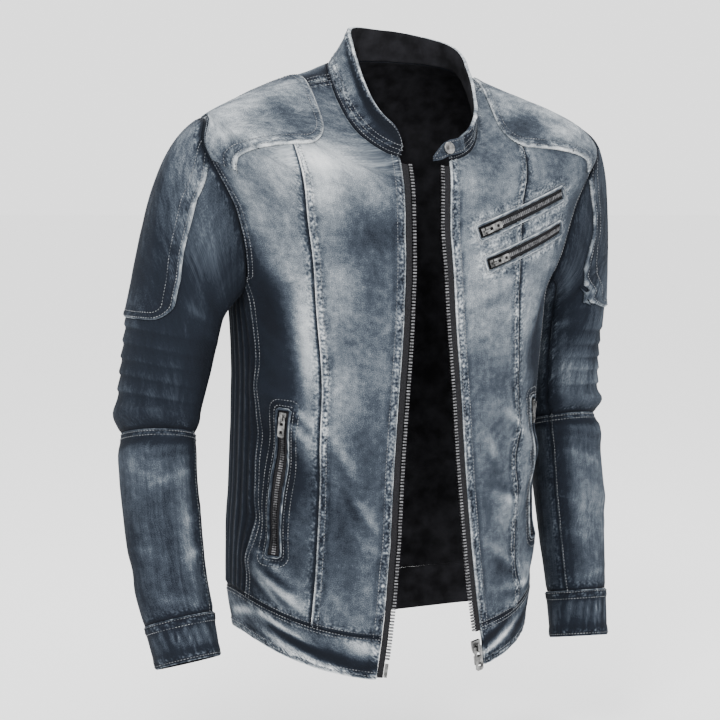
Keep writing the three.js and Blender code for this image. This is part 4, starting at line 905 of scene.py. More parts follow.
# The looks of the wash and the creases of the body, with painted highlight and painted shadow from the creases,
# then calm cloth where a patch lies on it
def dressBody(part, flats=()):
    u, v = part["u"], part["v"]
    crease = ridges(bodyCreases, u, v, degreeLength, bodyHeight)
    # shade: the creases moved about 7.7 mm down, painted as a shadow below each crease
    shade = ridges(bodyCreases, u, v + 0.012, degreeLength, bodyHeight)
    folds = ridges(bodyFolds, u, v, degreeLength, bodyHeight)
    part["height"] = 1.3 * crease + part.get("height", 0.0)
    # Ridges of creases and folds painted lighter, partly real wear and partly painted highlight, and the
    # painted shadow below each crease darker
    part["tone"] = (tonePatchesAt(bodyWash, u, v) + 0.22 * crease - 0.2 * shade + 0.035 * folds
                    + part.get("tone", 0.0))
    calm = np.ones(u.shape)
    for flat, outline, width in flats:
        away = outlineField(flat(part["points"]), outline)[0]
        calm = calm * smooth(-2, width, away)
    part["calm"] = calm


# Pocket windows: a plane on the construction's facets, and the outline in it
rowHeights = [mix(bandTop, sideSeamTop[1], i / 12) for i in range(12)]
rowHeights += [float(armholePlace(around)[1]) for around in [131, 115, 97, 78, 60, 40, 20, 0]]
rowHeights += [float(mix(shoulderTip[1], 1, share)) for share in [0.3, 0.62, 1]]
pockets = table("sign turn at toTurn toAt bow", [
    (-1, 55.5, 0.445, 60.5, 0.175, -3),
    (1, 55.5, 0.445, 60.5, 0.175, 3),
    (1, 11, 0.782, 42, 0.838, 0),
    (1, 15, 0.702, 50, 0.757, 0),
])
pocketNames = ["hand_right", "hand_left", "chest_upper", "chest_lower"]
pocketZip = {"halfWidth": 6.4, "welt": 2.8, "weltWall": 1.1, "weltHigh": 1.4, "weltGap": 0.3,
             "tapeWall": 0.8, "tapeHigh": -1.0, "slider": 14.2, "rowDeep": 0.35}


def facetPoint(sign, turn, at):
    row = max(k for k, height in enumerate(rowHeights) if height <= at)
    low, high = rowHeights[row], rowHeights[row + 1]

    def turnsOf(height):
        edge, seam, outer = (
            float(f) for f in (frontEdge(sign, height), princess(sign, height), outerFront(height)))
        return np.concatenate([np.linspace(edge, seam, 5), np.linspace(seam, outer, 5)[1:]])

    share = (at - low) / (high - low)
    lowTurns, highTurns = turnsOf(low), turnsOf(high)
    turns = mix(lowTurns, highTurns, share)
    k = int(np.argmax(turns > turn))
    along = (turn - turns[k - 1]) / (turns[k] - turns[k - 1])
    corner = lambda turnList, height, i: bodySurface(np.array(sign * turnList[i]), np.array(height))
    bottom = mix(corner(lowTurns, low, k - 1), corner(lowTurns, low, k), along)
    top = mix(corner(highTurns, high, k - 1), corner(highTurns, high, k), along)
    return mix(bottom, top, share)


def pocketPlane(k):
    sign, turn, at, toTurn, toAt, bow = (float(pockets[c][k]) for c in "sign turn at toTurn toAt bow".split())
    start = facetPoint(sign, turn, at)
    chord = facetPoint(sign, toTurn, toAt) - start
    middleTurn, middleAt = (turn + toTurn) / 2, (at + toAt) / 2
    out = slopeNormal(ringPoint, np.array(sign * middleTurn), np.array(middleAt))
    length = float(np.linalg.norm(chord))
    along = unit(chord / length - out * np.dot(chord / length, out))
    across = np.cross(out, along)
    middle = facetPoint(sign, middleTurn, middleAt)
    flat = lambda points: np.stack([(points - middle) @ along, (points - middle) @ across], -1)
    return {"sign": sign, "turn": sign * middleTurn, "at": middleAt, "length": length, "bow": bow,
            "flat": flat}


def windowOutline(plane, half, beyond, step=2.5):
    reach = plane["length"] / 2 + beyond
    x = np.linspace(-reach, reach, int(2 * reach / step) + 1)
    bow = plane["bow"] * (1 - (2 * x / plane["length"]) ** 2)
    y = np.linspace(-half, half, 6)[1:-1]
    sidesOf = [np.stack([x, bow + way * half], -1) for way in (-1, 1)]
    ends = [np.stack([np.full(4, end), middle + way * y], -1)
            for end, middle, way in ((reach, bow[-1], 1), (-reach, bow[0], -1))]
    return np.concatenate([sidesOf[0], ends[0], sidesOf[1][::-1], ends[1]])


# Turn and height of the cloth behind points of a pocket's plane
def behind(plane, q):
    turn = np.full(q.shape[:-1], plane["turn"])
    at = np.full(q.shape[:-1], plane["at"])
    flat = lambda t, a: plane["flat"](bodySurface(t, a)) - q
    for _ in range(8):
        f = flat(turn, at)
        t, a = (flat(turn + 0.5, at) - f) / 0.5, (flat(turn, at + 0.002) - f) / 0.002
        det = t[..., 0] * a[..., 1] - a[..., 0] * t[..., 1]
        turn = turn - (f[..., 0] * a[..., 1] - a[..., 0] * f[..., 1]) / det
        at = at - (t[..., 0] * f[..., 1] - f[..., 0] * t[..., 1]) / det
    return turn, at


planes = [pocketPlane(k) for k in range(4)]


def roundCorner(x, y, radius, first, last):
    angle = np.radians(np.linspace(first, last, 12))
    return list(zip(x + radius * np.cos(angle), y + radius * np.sin(angle)))


# Seen from above: out past the sleeve seam, and round at the inner end
shoulderShape = {"outer": 262, "inner": 131, "radius": 26, "backEdge": 50, "frontEdge": -48,
                 "corners": (24, -31)}


def shoulderOutline(sign):
    shape = shoulderShape
    outline = [(shape["outer"], shape["backEdge"])]
    for y, first in zip(shape["corners"], (90, 180)):
        outline += roundCorner(shape["inner"], y, shape["radius"], first, first + 90)
    outline.append((shape["outer"], shape["frontEdge"]))
    return np.array([(sign * x, y) for x, y in outline])


sleevePatchEdges = {
    -1: {"front": [(-30, 20), (-28, -108), (-27, -131), (-32, -184), (-36, -214), (-37, -238)], "low": -256,
         "back": 64},
    1: {"front": [(-34, 20), (-33, -111), (-30, -134), (-27, -154), (-26, -171), (-28, -189), (-27, -205),
                  (-23, -223), (-15, -240)], "low": -261, "back": 92},
}
patchCorner = 16
patchReach = 98.0


def sleevePatchOutline(sign):
    edge = sleevePatchEdges[sign]
    lastFront = edge["front"][-1][0]
    low = edge["low"] + patchCorner
    outline = edge["front"] + roundCorner(lastFront + patchCorner, low, patchCorner, 180, 270)
    return np.array(outline + roundCorner(edge["back"] - patchCorner, low, patchCorner, 270, 360)
                    + [(edge["back"], 20)])


planView = lambda points: points[..., :2]
sideView = lambda points: points[..., 1:]
print("surfaces ready")

# Fronts: a centre panel from the open edge to the princess seam, and a side front beyond it
seamEnds = {}
for name, sign in sides:
    widths = [outerFront(height) - princess(sign, height) for height in rowHeights]
    ends = [height for height, wide in zip(rowHeights, widths) if wide < shortestPiece * 1.01]
    seamEnds[sign] = ends[0]
    nextRow = (rowHeights + [1.001])[rowHeights.index(ends[0]) + 1]

    def centreOuter(at, sign=sign, low=ends[0], high=nextRow):
        share = np.clip((at - low) / (high - low), 0, 1)
        return np.where(at > low, outerFront(at) - shortestPiece * (1 - share), princess(sign, at))

    panelsHere = [
        (f"front_centre_{name}", 1.0, lambda at, sign=sign: frontEdge(sign, at), centreOuter, 30,
         {"near": "open", "far": "felled"}),
        (f"front_side_{name}", ends[0], lambda at, sign=sign: princess(sign, at), outerFront, 60,
         {"near": "under", "far": "quiet"}),
    ]
    for panel, top, near, far, turn, kinds in panelsHere:
        heights = heightsBetween(bandTop, top, sign * turn)
        edges = (near, far) if sign > 0 else (far, near)
        part = bodyPart(heights, *[lambda at, edge=edge: sign * edge(at) for edge in edges])
        flats = [(planView, shoulderOutline(sign), 5)]
        mine = [k for k in range(4) if pockets["sign"][k] == sign]
        for k in mine:
            cutGrid(part, planes[k]["flat"], windowOutline(planes[k], pocketZip["halfWidth"], 0), False)
        layOut(part)
        for k in mine:
            outline = windowOutline(planes[k], pocketZip["halfWidth"], 0)
            away, beside, _ = outlineField(planes[k]["flat"](part["points"]), outline)
            part["fields"][pocketNames[k]] = (np.where(away > 0, away, 99), beside)
            near = np.clip(away, 0, 60)
            wave = noise(beside / 4.6, near / 14, 60 + k)
            part["height"] = part.get("height", 0.0) + 0.75 * wave * bell(near - 9, 6)
            around = -0.3 if k < 2 else 0.12
            beyond = 0.3 * wave * bell(near - 8, 5) + around * bell(near - 5.5, 4.5)
            part["tone"] = part.get("tone", 0.0) + beyond
            part["sewn"] = np.maximum(part.get("sewn", 0.0), 0.55 * bell(near - 8, 4.5))
            flats.append((planes[k]["flat"], outline, 7))
        dressBody(part, flats)
        sidesOf = ("start", "end") if sign > 0 else ("end", "start")
        looks = {sidesOf[0]: kinds["near"], sidesOf[1]: kinds["far"], "low": "under", "high": "plain"}
        cloth(panel, [part], "denim", looks, number=100 + 40 * (sign > 0) + (7 if top < 1 else 0))
print("fronts made")

# Side panels with nine tucks, each a ridge that leans on the next
tucks = {"count": 9, "rise": 2.1, "uneven": 0.35}
for name, sign in sides:
    shares = np.linspace(0.001, 0.999, 91)
    low = np.linspace(0, 1, 150)
    parts = np.repeat((shares if sign > 0 else 1 - shares)[None], len(low), 0)
    turnHere = mix(sideSeamTop[0], 2 * armhole["turn"] - sideSeamTop[0], parts)
    off = np.clip(np.abs(armhole["turn"] - turnHere) / armhole["halfTurn"], 0, 1) ** (armhole["power"] / 2)
    angle = np.degrees(np.arcsin(off))
    top = armholePlace(np.where(turnHere < armhole["turn"], 180 - angle, 180 + angle))[1]
    rise = np.repeat(low[:, None], len(shares), 1)
    v = mix(bandTop + 0.0003, top - 0.0004, rise)
    seamAt = mix(bandTop, sideSeamTop[1], rise)
    front = column(frontSeamTurns, "turn", seamAt)
    u = sign * mix(front, 2 * armhole["turn"] - front, parts)
    part = gridPart(u, v, bodySurface, bodyNormal)
    layOut(part)
    wobble = parts + 0.006 * noise(part["along"] / 60, 0.5, 31)
    phase = wobble * tucks["count"]
    ridge = np.clip(1 - np.abs(2 * (phase % 1) - 1), 0, 1)
    uneven = 1 - tucks["uneven"] * (0.5 + 0.5 * noise(part["along"] / 38, np.floor(phase) * 1.7, 33))
    ends = np.clip(part["along"] / 5, 0, 1) * np.clip((part["along"][-1:] - part["along"]) / 12, 0, 1)
    part["height"] = tucks["rise"] * ridge**0.75 * uneven * ends - 0.2
    dressBody(part)
    # Tuck tops lighter, partly real wear and partly painted highlight, and painted shade in the valleys between
    # them
    part["tone"] = part["tone"] + 0.55 * (ridge**3) * uneven - 0.3 * (1 - ridge) ** 2
    cloth(f"side_tucked_{name}", [part], "dark", {"start": "under", "end": "under", "low": "under"},
          number=200 + sign, crumple=0.6)

# Back, in one piece
heights = heightsBetween(bandTop, 1.0, 180)
part = bodyPart(heights, outerBack, lambda at: 360 - outerBack(at), step=3.6)
layOut(part)
dressBody(part, [(planView, shoulderOutline(sign), 5) for _, sign in sides])
cloth("back", [part], "denim", {"start": "felled", "end": "felled", "low": "under", "high": "under"},
      number=240)
print("back made")

# Hem band, folded double, worn through in streaks
bandStreaks = table("turn at toTurn toAt width rise", [
    (-68, 0.056, -38, 0.034, 4, 0.8), (-62, 0.04, -20, 0.02, 6, -1.0), (-66, 0.022, -28, 0.006, 5, 0.75),
    (-30, 0.06, -15, 0.045, 9, 0.4), (-72, 0.078, -20, 0.07, 4, -0.45), (-24, 0.012, -14, 0.03, 5, -0.35),
    (12, 0.026, 36, 0.06, 4, -1.0), (18, 0.014, 44, 0.046, 4, 0.7), (12, 0.06, 30, 0.078, 5, 0.5),
    (40, 0.02, 62, 0.045, 6, -0.7), (90, 0.05, 130, 0.02, 6, -0.5), (150, 0.03, 200, 0.05, 6, 0.5),
    (215, 0.05, 260, 0.02, 6, -0.5), (268, 0.03, 288, 0.05, 5, 0.5),
])
low = np.concatenate([[0, 0.012, 0.03], np.linspace(0.06, 0.94, 15), [0.975, 0.99, 0.9968]])
edgesOf = lambda at: (float(frontEdge(1, at)), 360 - float(frontEdge(-1, at)))
start, end = (mix(edgesOf(0.0)[i], edgesOf(bandTop)[i], low) for i in (0, 1))
shares = spaced(900, 3.2)
u = start[:, None] + (end - start)[:, None] * shares
v = np.repeat((low * bandTop)[:, None], len(shares), 1)
part = gridPart(u, v, bodySurface, bodyNormal)
layOut(part)
dressBody(part)
ragged = noise(part["across"] / 4, 0.5, 41) * bell(part["along"], 2.5)
part["height"] = part["height"] + 0.3 * ragged
streaks = ridges(bandStreaks, (u + 180) % 360 - 180, v, degreeLength, bodyHeight)
wornEdge = 0.6 * bell(part["along"] - 0.8, 2.2) * (0.5 + 0.5 * ragged)
part["tone"] = 0.3 * part["tone"] + 1.15 * streaks + wornEdge
part["sewn"] = 0.5 * bell(part["along"] - 9, 6)
cloth("hem_band", [part], "patch", {"low": "open", "high": "under", "start": "open", "end": "open"}, bandWall,
      number=300, crumple=0.8)

# Stand collar, leaning in from the neck seam
collarHeights = table("at height", [
    (0, 24), (0.11, 24), (0.25, 22), (0.38, 26), (0.5, 33), (0.62, 37), (0.75, 33), (0.89, 29), (1, 27),
])
collarShape = {"lean": 13, "shift": 8, "forward": 13, "cornerReach": 17, "cornerDrop": 0.8}


def collarPoint(turn, share):
    angle = np.radians(turn)
    outward = np.stack([np.sin(angle), -np.cos(angle), 0 * angle], -1)
    fromEdge = np.minimum(turn - frontEdge(1, 1), 360 - frontEdge(-1, 1) - turn)
    beyond = 1 - np.clip(fromEdge / collarShape["cornerReach"], 0, 1)
    up = share * (1 - collarShape["cornerDrop"] * (1 - np.sqrt(1 - beyond**2)))
    sideways = mix(0.6, 1, np.abs(np.sin(angle)))
    height = column(collarHeights, "height", turn / 360)
    lean = -collarShape["lean"] * sideways * np.maximum(up, 0) ** 0.8
    forward = -collarShape["forward"] * np.sin(angle) ** 2 * up
    shifts = [collarShape["shift"] * up, forward, up * height + seamGap]
    return bodySurface(turn, np.ones_like(turn)) + outward * lean[..., None] + np.stack(shifts, -1)


def collarNormal(turn, share):
    across = collarPoint(turn + 0.5, share) - collarPoint(turn - 0.5, share)
    up = collarPoint(turn, np.minimum(1, share + 0.02)) - collarPoint(turn, np.maximum(0, share - 0.02))
    return unit(np.cross(across, up))


first, last = float(frontEdge(1, 1)), 360 - float(frontEdge(-1, 1))
shares = spaced(430, 2.6)
low = np.concatenate([[0, 0.02, 0.06], np.linspace(0.12, 0.9, 12), [0.95, 0.985, 1]])
u = np.repeat((first + 0.2 + (last - first - 0.4) * shares)[None], len(low), 0)
v = np.repeat(low[:, None], len(shares), 1)
part = gridPart(u, v, collarPoint, collarNormal)
layOut(part)
blocks = noise(part["across"] / 3.6, 0.5 + part["along"] / 30, 51)
lower = bell(part["along"] - 9, 7)
part["height"] = 0.5 * blocks * lower
frontDark = bell((u + 180) % 360 - 180 + 30, 26) + 0.7 * bell(u - 26, 20)
# A groove sunk about 8 mm under the collar's top at the right front, darkened as painted shade in it
groove = bell(part["along"][-1:] - part["along"] - 8, 3.8) * bell((u + 180) % 360 - 180 + 56, 34)
part["height"] = part["height"] - 0.9 * groove
part["tone"] = 0.4 * blocks * lower - 0.7 * frontDark - 1.2 * groove + 0.1
part["sewn"] = 0.8 * lower
cloth("collar", [part], "patch", {"high": "felled", "start": "open", "end": "open", "low": "under"}, bandWall,
      number=320, crumple=0.5)
print("collar made")

# Shoulder patches, each over the front and the back from the sleeve seam to a round inner end
patchWash = table("turn at wide tall tone", [
    (60, 0.875, 14, 0.03, -0.08), (75, 0.9, 16, 0.03, 0.25), (70, 0.95, 14, 0.03, -0.2),
    (95, 0.93, 16, 0.04, 0.2),
    (120, 0.9, 20, 0.04, -0.15), (50, 0.9, 8, 0.05, 0.2),
])
overPanel = patchGap + patchWall


def armholeEdge(at, grow, back=False):
    rise = armhole["halfRise"] + 0.0035 * grow
    share = np.clip(np.abs(at - armhole["middle"]) / rise, 0, 1)
    upper = np.arccos(share ** (armhole["power"] / 2))
    half = (armhole["halfTurn"] + 1.7 * grow) * np.abs(np.sin(upper)) ** (2 / armhole["power"])
    edge = armhole["turn"] + (half if back else -half)
    return np.where(at >= armhole["middle"] + rise, shoulderSeam(at), edge)


for name, sign in sides:
    heights = heightsBetween(0.846, 0.985, sign * 75, 3.0)
    limits = [
        (lambda at: np.full(at.shape, 28.0), lambda at: armholeEdge(at, 1)),
        (lambda at: armholeEdge(at, 1, True), lambda at: np.full(at.shape, 168.0)),
    ]
    halves = []
    for near, far in limits:
        edges = (near, far) if sign > 0 else (far, near)
        ends = [lambda at, edge=edge: sign * edge(at) for edge in edges]
        part = bodyPart(heights, *ends, step=2.8, inset=False)
        part["u"] = np.where(np.abs(np.abs(part["u"]) - shoulderSeam(part["v"])) < 1e-6,
                             sign * shoulderSeam(part["v"]), part["u"])
        cutGrid(part, planView, shoulderOutline(sign), True)
        layOut(part)
        away, beside, _ = outlineField(planView(part["points"]), shoulderOutline(sign))
        part["fields"]["outline"] = (-away, beside)
        fromHole = np.abs(np.abs(part["u"]) - np.abs(armholeEdge(part["v"], 1, near(heights)[0] > 60)))
        fromHole = fromHole * degreeLength + np.clip(part["v"] - shoulderTip[1], 0, 1) * 1190
        part["fields"]["hole"] = (fromHole, beside + 70)
        part["tone"] = tonePatchesAt(patchWash, np.abs(part["u"]), part["v"])
        ring = noise(part["points"][..., 0] / 30, part["points"][..., 1] / 11, 71)
        part["height"] = 0.35 * ring
        part["tone"] = part["tone"] + 0.14 * ring + 0.16
        halves.append(part)
    cloth(f"shoulder_patch_{name}", halves, "patch", {"outline": "piped", "hole": "plain"}, patchWall,
          lift=overPanel, number=340 + sign,
          crumple=0.5, innerLift=patchGap)
print("shoulder patches made")

# Sleeves: two pieces above the elbow seam and two below it, then the cuff and the patch
seamTurns = {"front": 140.0, "back": 235.0}
cuffLift = 0.4


def sleevePart(sign, rows, first, last, step=2.8, closed=False):
    around = np.linspace(first, last, 80)
    points = sleeveSurface(sign, around, np.full(80, rows[len(rows) // 2]))
    wide = np.linalg.norm(np.diff(points, axis=0), axis=1).sum()
    edge = 0.5 * seamGap / wide
    if closed:
        turns = np.linspace(first, last, int(wide / step))[:-1]
    else:
        turns = first + (last - first) * (edge + (1 - 2 * edge) * spaced(wide, step))
    u = np.repeat(turns[None], len(rows), 0)
    v = np.repeat(rows[:, None], len(turns), 1)
    place = lambda a, b: sleeveSurface(sign, a, b)
    return gridPart(u, v, place, lambda a, b: sleeveNormal(sign, a, b))


def sleeveRows(sign, low, high, step=2.6, inset=(True, True)):
    at = np.linspace(low, high, 500)
    length = arcs(sleeveSurface(sign, np.full(500, 60.0), at)[:, None], 0)[:, 0]
    edge = 0.5 * seamGap / length[-1]
    shares = spaced(length[-1], step)
    shares = edge * inset[0] + (1 - edge * (inset[0] + inset[1])) * shares
    return np.interp(shares * length[-1], length, at)


def dressSleeve(part, sign, number):
    u, v = part["u"], part["v"]
    crease = ridges(sleeveCreases, u, v, 0.78, sleeveLength, ("around", "toAround"))
    crease = crease * (1 + 0.4 * noise(u / 40 + sign * 3, v * 9, number))
    tuck = tuckRise(u, v)
    streak = noise(u / 3.2 + 5 * sign, v * 4.5, number + 1)
    part["height"] = crease + tuck + part.get("height", 0.0)
    # Crease ridges and tuck rises painted lighter and troughs and the steps after the tucks darker: painted
    # highlight and painted shade; the streaks are wear
    part["tone"] = (tonePatchesAt(sleeveTones[sign], u, v, "around") + 0.18 * crease + 0.1 * (tuck - 0.8)
                    + 0.08 * streak + part.get("tone", 0.0))


for name, sign in sides:
    back = seamTurns["back"] - 360
    front = seamTurns["front"]
    under = seamTurns["back"]
    upper = sleeveRows(sign, -capShare, elbowSeam, 2.4, (False, True))
    lower = sleeveRows(sign, elbowSeam, cuffTop, 2.8)
    pieces = [
        (f"sleeve_upper_top_{name}", upper, back, front, "sleeve", {"low": "under", "high": "under"}),
        (f"sleeve_upper_under_{name}", upper, front, under, "sleeve", {"low": "under", "high": "under"}),
        (f"sleeve_lower_top_{name}", lower, back, front, "forearm", {"low": "quiet", "high": "under"}),
        (f"sleeve_lower_under_{name}", lower, front, under, "forearm", {"low": "quiet", "high": "under"}),
    ]
    for number, (piece, rows, first, last, look, kinds) in enumerate(pieces):
        part = sleevePart(sign, rows, first, last)
        layOut(part)
        if look == "forearm":
            edge = bell(part["u"] - front, 5) + bell(part["u"] - back, 5)
            part["tone"] = 0.45 * edge * (0.6 + 0.4 * noise(part["along"] / 12, 0.5, 77 + number))
        dressSleeve(part, sign, 80 + number)
        if number == 0:
            away = outlineField(sideView(part["points"]), sleevePatchOutline(sign))[0]
            away = np.maximum(away, np.abs(part["u"]) - patchReach)
            covered = part["v"] < 0.08
            part["calm"] = np.where(covered, smooth(-1, 6, away), 1.0)
            part["late"] = np.where(covered, (1 - smooth(-1, 6, away)) * tuckRise(part["u"], part["v"]), 0.0)
        cloth(piece, [part], look, {**kinds, "start": "under", "end": "quiet"},
              number=400 + 10 * number + sign, flip=sign < 0, crumple=0.9)
    rows = sleeveRows(sign, cuffTop, 1.0, 2.4, (True, False))
    part = sleevePart(sign, rows, 200.0, 560.0, closed=True)
    layOut(part)
    bars = noise(part["across"] / 2.6, part["along"] / 60, 95)
    part["tone"] = 0.3 * bars * smooth(4, 14, part["along"]) - 0.25
    part["height"] = 0.25 * bars * bell(part["along"] - 6, 5)
    dressSleeve(part, sign, 97)
    cloth(f"cuff_{name}", [part], "forearm", {"low": "felled", "high": "open"}, bandWall, lift=cuffLift,
          number=460 + sign, flip=sign < 0, tube=True, crumple=0.7)

    rows = sleeveRows(sign, -capShare * 0.985, 0.072, 2.4, (False, False))
    part = sleevePart(sign, rows, -patchReach, patchReach)
    cutGrid(part, sideView, sleevePatchOutline(sign), True)
    layOut(part)
    away, beside, _ = outlineField(sideView(part["points"]), sleevePatchOutline(sign))
    nearest = np.minimum(-away, np.minimum(part["across"], part["across"][:, -1:] - part["across"]))
    part["fields"]["outline"] = (nearest, beside)
    dressSleeve(part, sign, 99)
    part["tone"] = part["tone"] - 0.12
    cloth(f"sleeve_patch_{name}", [part], "patch", {"outline": "piped", "low": "under"}, patchWall,
          lift=overPanel, number=480 + sign,
          flip=sign < 0, crumple=0.7, innerLift=patchGap)
print("sleeves made")

# Snap tab on the wearer's left end of the collar, and its stud
tabShape = {"first": -15.0, "last": 13.0, "low": 0.22, "high": 0.92, "wall": 2.4, "gap": 0.9, "steady": 21.0}


# It keeps the collar's full height past the rounded corner, and sinks and narrows towards its tip
def tabPoint(along, across):
    turn = mix(tabShape["first"], tabShape["last"], along)
    edge = float(frontEdge(1, 1))
    base = collarPoint(edge + np.maximum(turn, 0), np.zeros_like(turn))
    top = collarPoint(np.full(turn.shape, edge + tabShape["steady"]), np.ones_like(turn))
    bottom = collarPoint(np.full(turn.shape, edge + tabShape["steady"]), np.zeros_like(turn))
    point = 1 - np.clip(along / 0.35, 0, 1)
    half = (tabShape["high"] - tabShape["low"]) * 0.5 * (1 - 0.72 * point**1.4)
    middle = (tabShape["high"] + tabShape["low"]) / 2 - 0.12 * point
    beyond = np.minimum(turn, 0)[..., None] * np.array([1.4, 0.1, 0.6])
    return base + (top - bottom) * (middle + (across - 0.5) * 2 * half)[..., None] + beyond


def tabNormal(along, across):
    ahead = tabPoint(np.minimum(1, along + 0.02), across) - tabPoint(np.maximum(0, along - 0.02), across)
    up = tabPoint(along, np.minimum(1, across + 0.05)) - tabPoint(along, np.maximum(0, across - 0.05))
    return unit(np.cross(ahead, up))


shares = np.array([0, 0.03, 0.08, 0.16, 0.28, 0.42, 0.56, 0.7, 0.82, 0.91, 0.97, 1])
u = np.repeat(spaced(50, 1.6)[None], len(shares), 0)
v = np.repeat(shares[:, None], u.shape[1], 1)
part = gridPart(u, v, tabPoint, tabNormal)
layOut(part)
part["tone"] = -0.05
cloth("collar_tab", [part], "patch", dict.fromkeys(["low", "high", "start", "end"], "plain"),
      tabShape["wall"], lift=tabShape["gap"] + tabShape["wall"], number=500, crumple=0.2,
      innerLift=tabShape["gap"])

# Turned cap: distance from its axis and height, from the middle of its face to its underside
snap = {"lift": 4.95, "along": 0.45, "facets": 36, "faces": (0.2, -1, 0.25)}
snapProfile = table("radius height", [
    (0, 0.5), (2.4, 0.45), (3.4, 0.1), (4.0, 0.1), (4.8, 1.0), (5.8, 1.15), (6.6, 0.7), (6.9, 0),
    (6.8, -0.8), (0, -0.8),
])
seat = tabPoint(np.array([snap["along"]]), np.array([0.5]))[0]
outward = unit(np.array(snap["faces"]))
side = unit(np.cross(outward, np.array([0, 0, 1.0])))
rise = np.cross(side, outward)
angle = np.linspace(0, 2 * np.pi, snap["facets"] + 1)[:-1]
points = [seat + outward * (snap["lift"] + height) + radius * (side * np.cos(a) + rise * np.sin(a))
          for radius, height in zip(snapProfile["radius"], snapProfile["height"]) for a in angle]
ringOf = lambda k: np.arange(snap["facets"]) + k * snap["facets"]
faces = [face for k in range(len(snapProfile["radius"]) - 1)
         for face in zip(ringOf(k + 1), np.roll(ringOf(k + 1), -1), np.roll(ringOf(k), -1), ringOf(k))]
stud = makeMesh("collar_snap_stud", points, faces, {}, [materials["metal"]])
turnOut(stud, 1e-6)
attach(stud, "jacket")
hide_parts("collar_snap")


# Strips of zip tape beyond the front edges
zipTape = {"inset": 0.45, "width": 6.6, "thick": 1.0, "lift": -0.6}
toothSize = {"pitch": 3.4, "size": (0.85, 2.0, 1.3), "reach": 2.1, "deep": 0.6}
beadMiddle = seamGap * 2.5 + zipTape["width"] + toothSize["reach"]


def besideEdge(sign, at, distance):
    edge = frontEdge(sign, at)
    return sign * (edge - degreesFor(distance, edge, at))


def zipRows(low, high, step=3.0):
    at = np.linspace(low, high, 400)
    length = arcs(bodySurface(np.full(400, 5.0), at)[:, None], 0)[:, 0]
    return np.interp(spaced(length[-1], step) * length[-1], length, at)


for name, sign in sides:
    rows = zipRows(0.004 if sign < 0 else 0.062, 0.985)
    distance = zipTape["inset"] + zipTape["width"] * np.array([0, 0.08, 0.3, 0.6, 0.92, 1])
    v = np.repeat(rows[:, None], len(distance), 1)
    away = np.repeat((distance if sign < 0 else distance[::-1])[None], len(rows), 0)
    u = besideEdge(sign, v, away)
    part = gridPart(u, v, bodySurface, bodyNormal)
    layOut(part)
    wave = noise(part["along"] / 9, away / 12, 111 + sign)
    part["height"] = 0.12 * wave - 0.12
    tapeOn(cloth(f"zip_tape_{name}", [part], "denim", {}, zipTape["thick"], lift=zipTape["lift"],
                 crumple=0, innerLift=zipTape["lift"] - zipTape["thick"]))

# Welts and tapes of the zipped pockets, on the cloth behind their planes
chains = {}
for k, name in enumerate(pocketNames):
    plane = planes[k]
    half, welt, length = pocketZip["halfWidth"], pocketZip["welt"], plane["length"]
    offsets = np.array([0, 0.25, 0.9, 1.5, 2.1, 2.6, 2.8])
    swell = np.array([-0.5, 0.0, 0.35, 0.4, 0.3, 0.0, -0.6])
    base = windowOutline(plane, half, 0, 2.2)
    grown = windowOutline(plane, half + welt, welt, 2.2)
    count = min(len(base), len(grown))
    resample = lambda ring: np.stack([np.interp(
        np.linspace(0, 1, 2 * count, endpoint=False),
        np.linspace(0, 1, len(ring) + 1), np.append(ring[:, i], ring[0, i])) for i in (0, 1)], -1)
    inner = resample(base)
    outer = outlineField(inner, grown)[2]
    flatPoints = mix(inner[None], outer[None], (offsets / welt)[:, None, None])
    u, v = behind(plane, flatPoints)
    part = gridPart(u, v, bodySurface, bodyNormal)
    layOut(part)
    ripple = noise(part["across"] / 4.5, 0.5 + offsets[:, None], 120 + k)
    part["height"] = swell[:, None] + 0.18 * ripple
    part["tone"] = (-0.25 if k < 2 else 0.05) + 0.25 * ripple + 0.55 * bell(offsets[:, None] - 2.5, 0.5)
    ring = cloth(f"pocket_{name}_welt", [part], "denim", {}, pocketZip["weltWall"], lift=pocketZip["weltHigh"],
                 tube=True, innerLift=pocketZip["weltGap"], crumple=0, flip=True,
                 cut=(2 * (half + welt), length + 2 * welt))
    turnOut(ring)
    x = np.linspace(-length / 2 + seamGap, length / 2 - seamGap, int(length / 2.6))
    y = (half - seamGap) * np.array([-1, -0.85, -0.45, -0.15, 0.15, 0.45, 0.85, 1])
    bow = plane["bow"] * (1 - (2 * x / length) ** 2)
    flatPoints = np.stack(np.broadcast_arrays(x[None, :], bow[None, :] + y[:, None]), -1)
    u, v = behind(plane, flatPoints)
    part = gridPart(u, v, bodySurface, bodyNormal)
    layOut(part)
    part["height"] = -0.15 + 0.12 * noise(part["across"] / 7, y[:, None] / 4, 130 + k)
    tape = cloth(f"pocket_{name}_tape", [part], "denim", {}, pocketZip["tapeWall"],
                 lift=pocketZip["tapeHigh"], crumple=0, innerLift=pocketZip["tapeHigh"] - pocketZip["tapeWall"])
    turnOut(tape)
    tapeOn(tape)
    x = np.arange(pocketZip["slider"] - length / 2, length / 2 - 2, 1.0)
    bow = plane["bow"] * (1 - (2 * x / length) ** 2)
    u, v = behind(plane, np.stack([x, bow], -1))
    normals = bodyNormal(u, v)
    chains[name] = (bodySurface(u, v) - normals * pocketZip["rowDeep"], normals)
print("zips made")


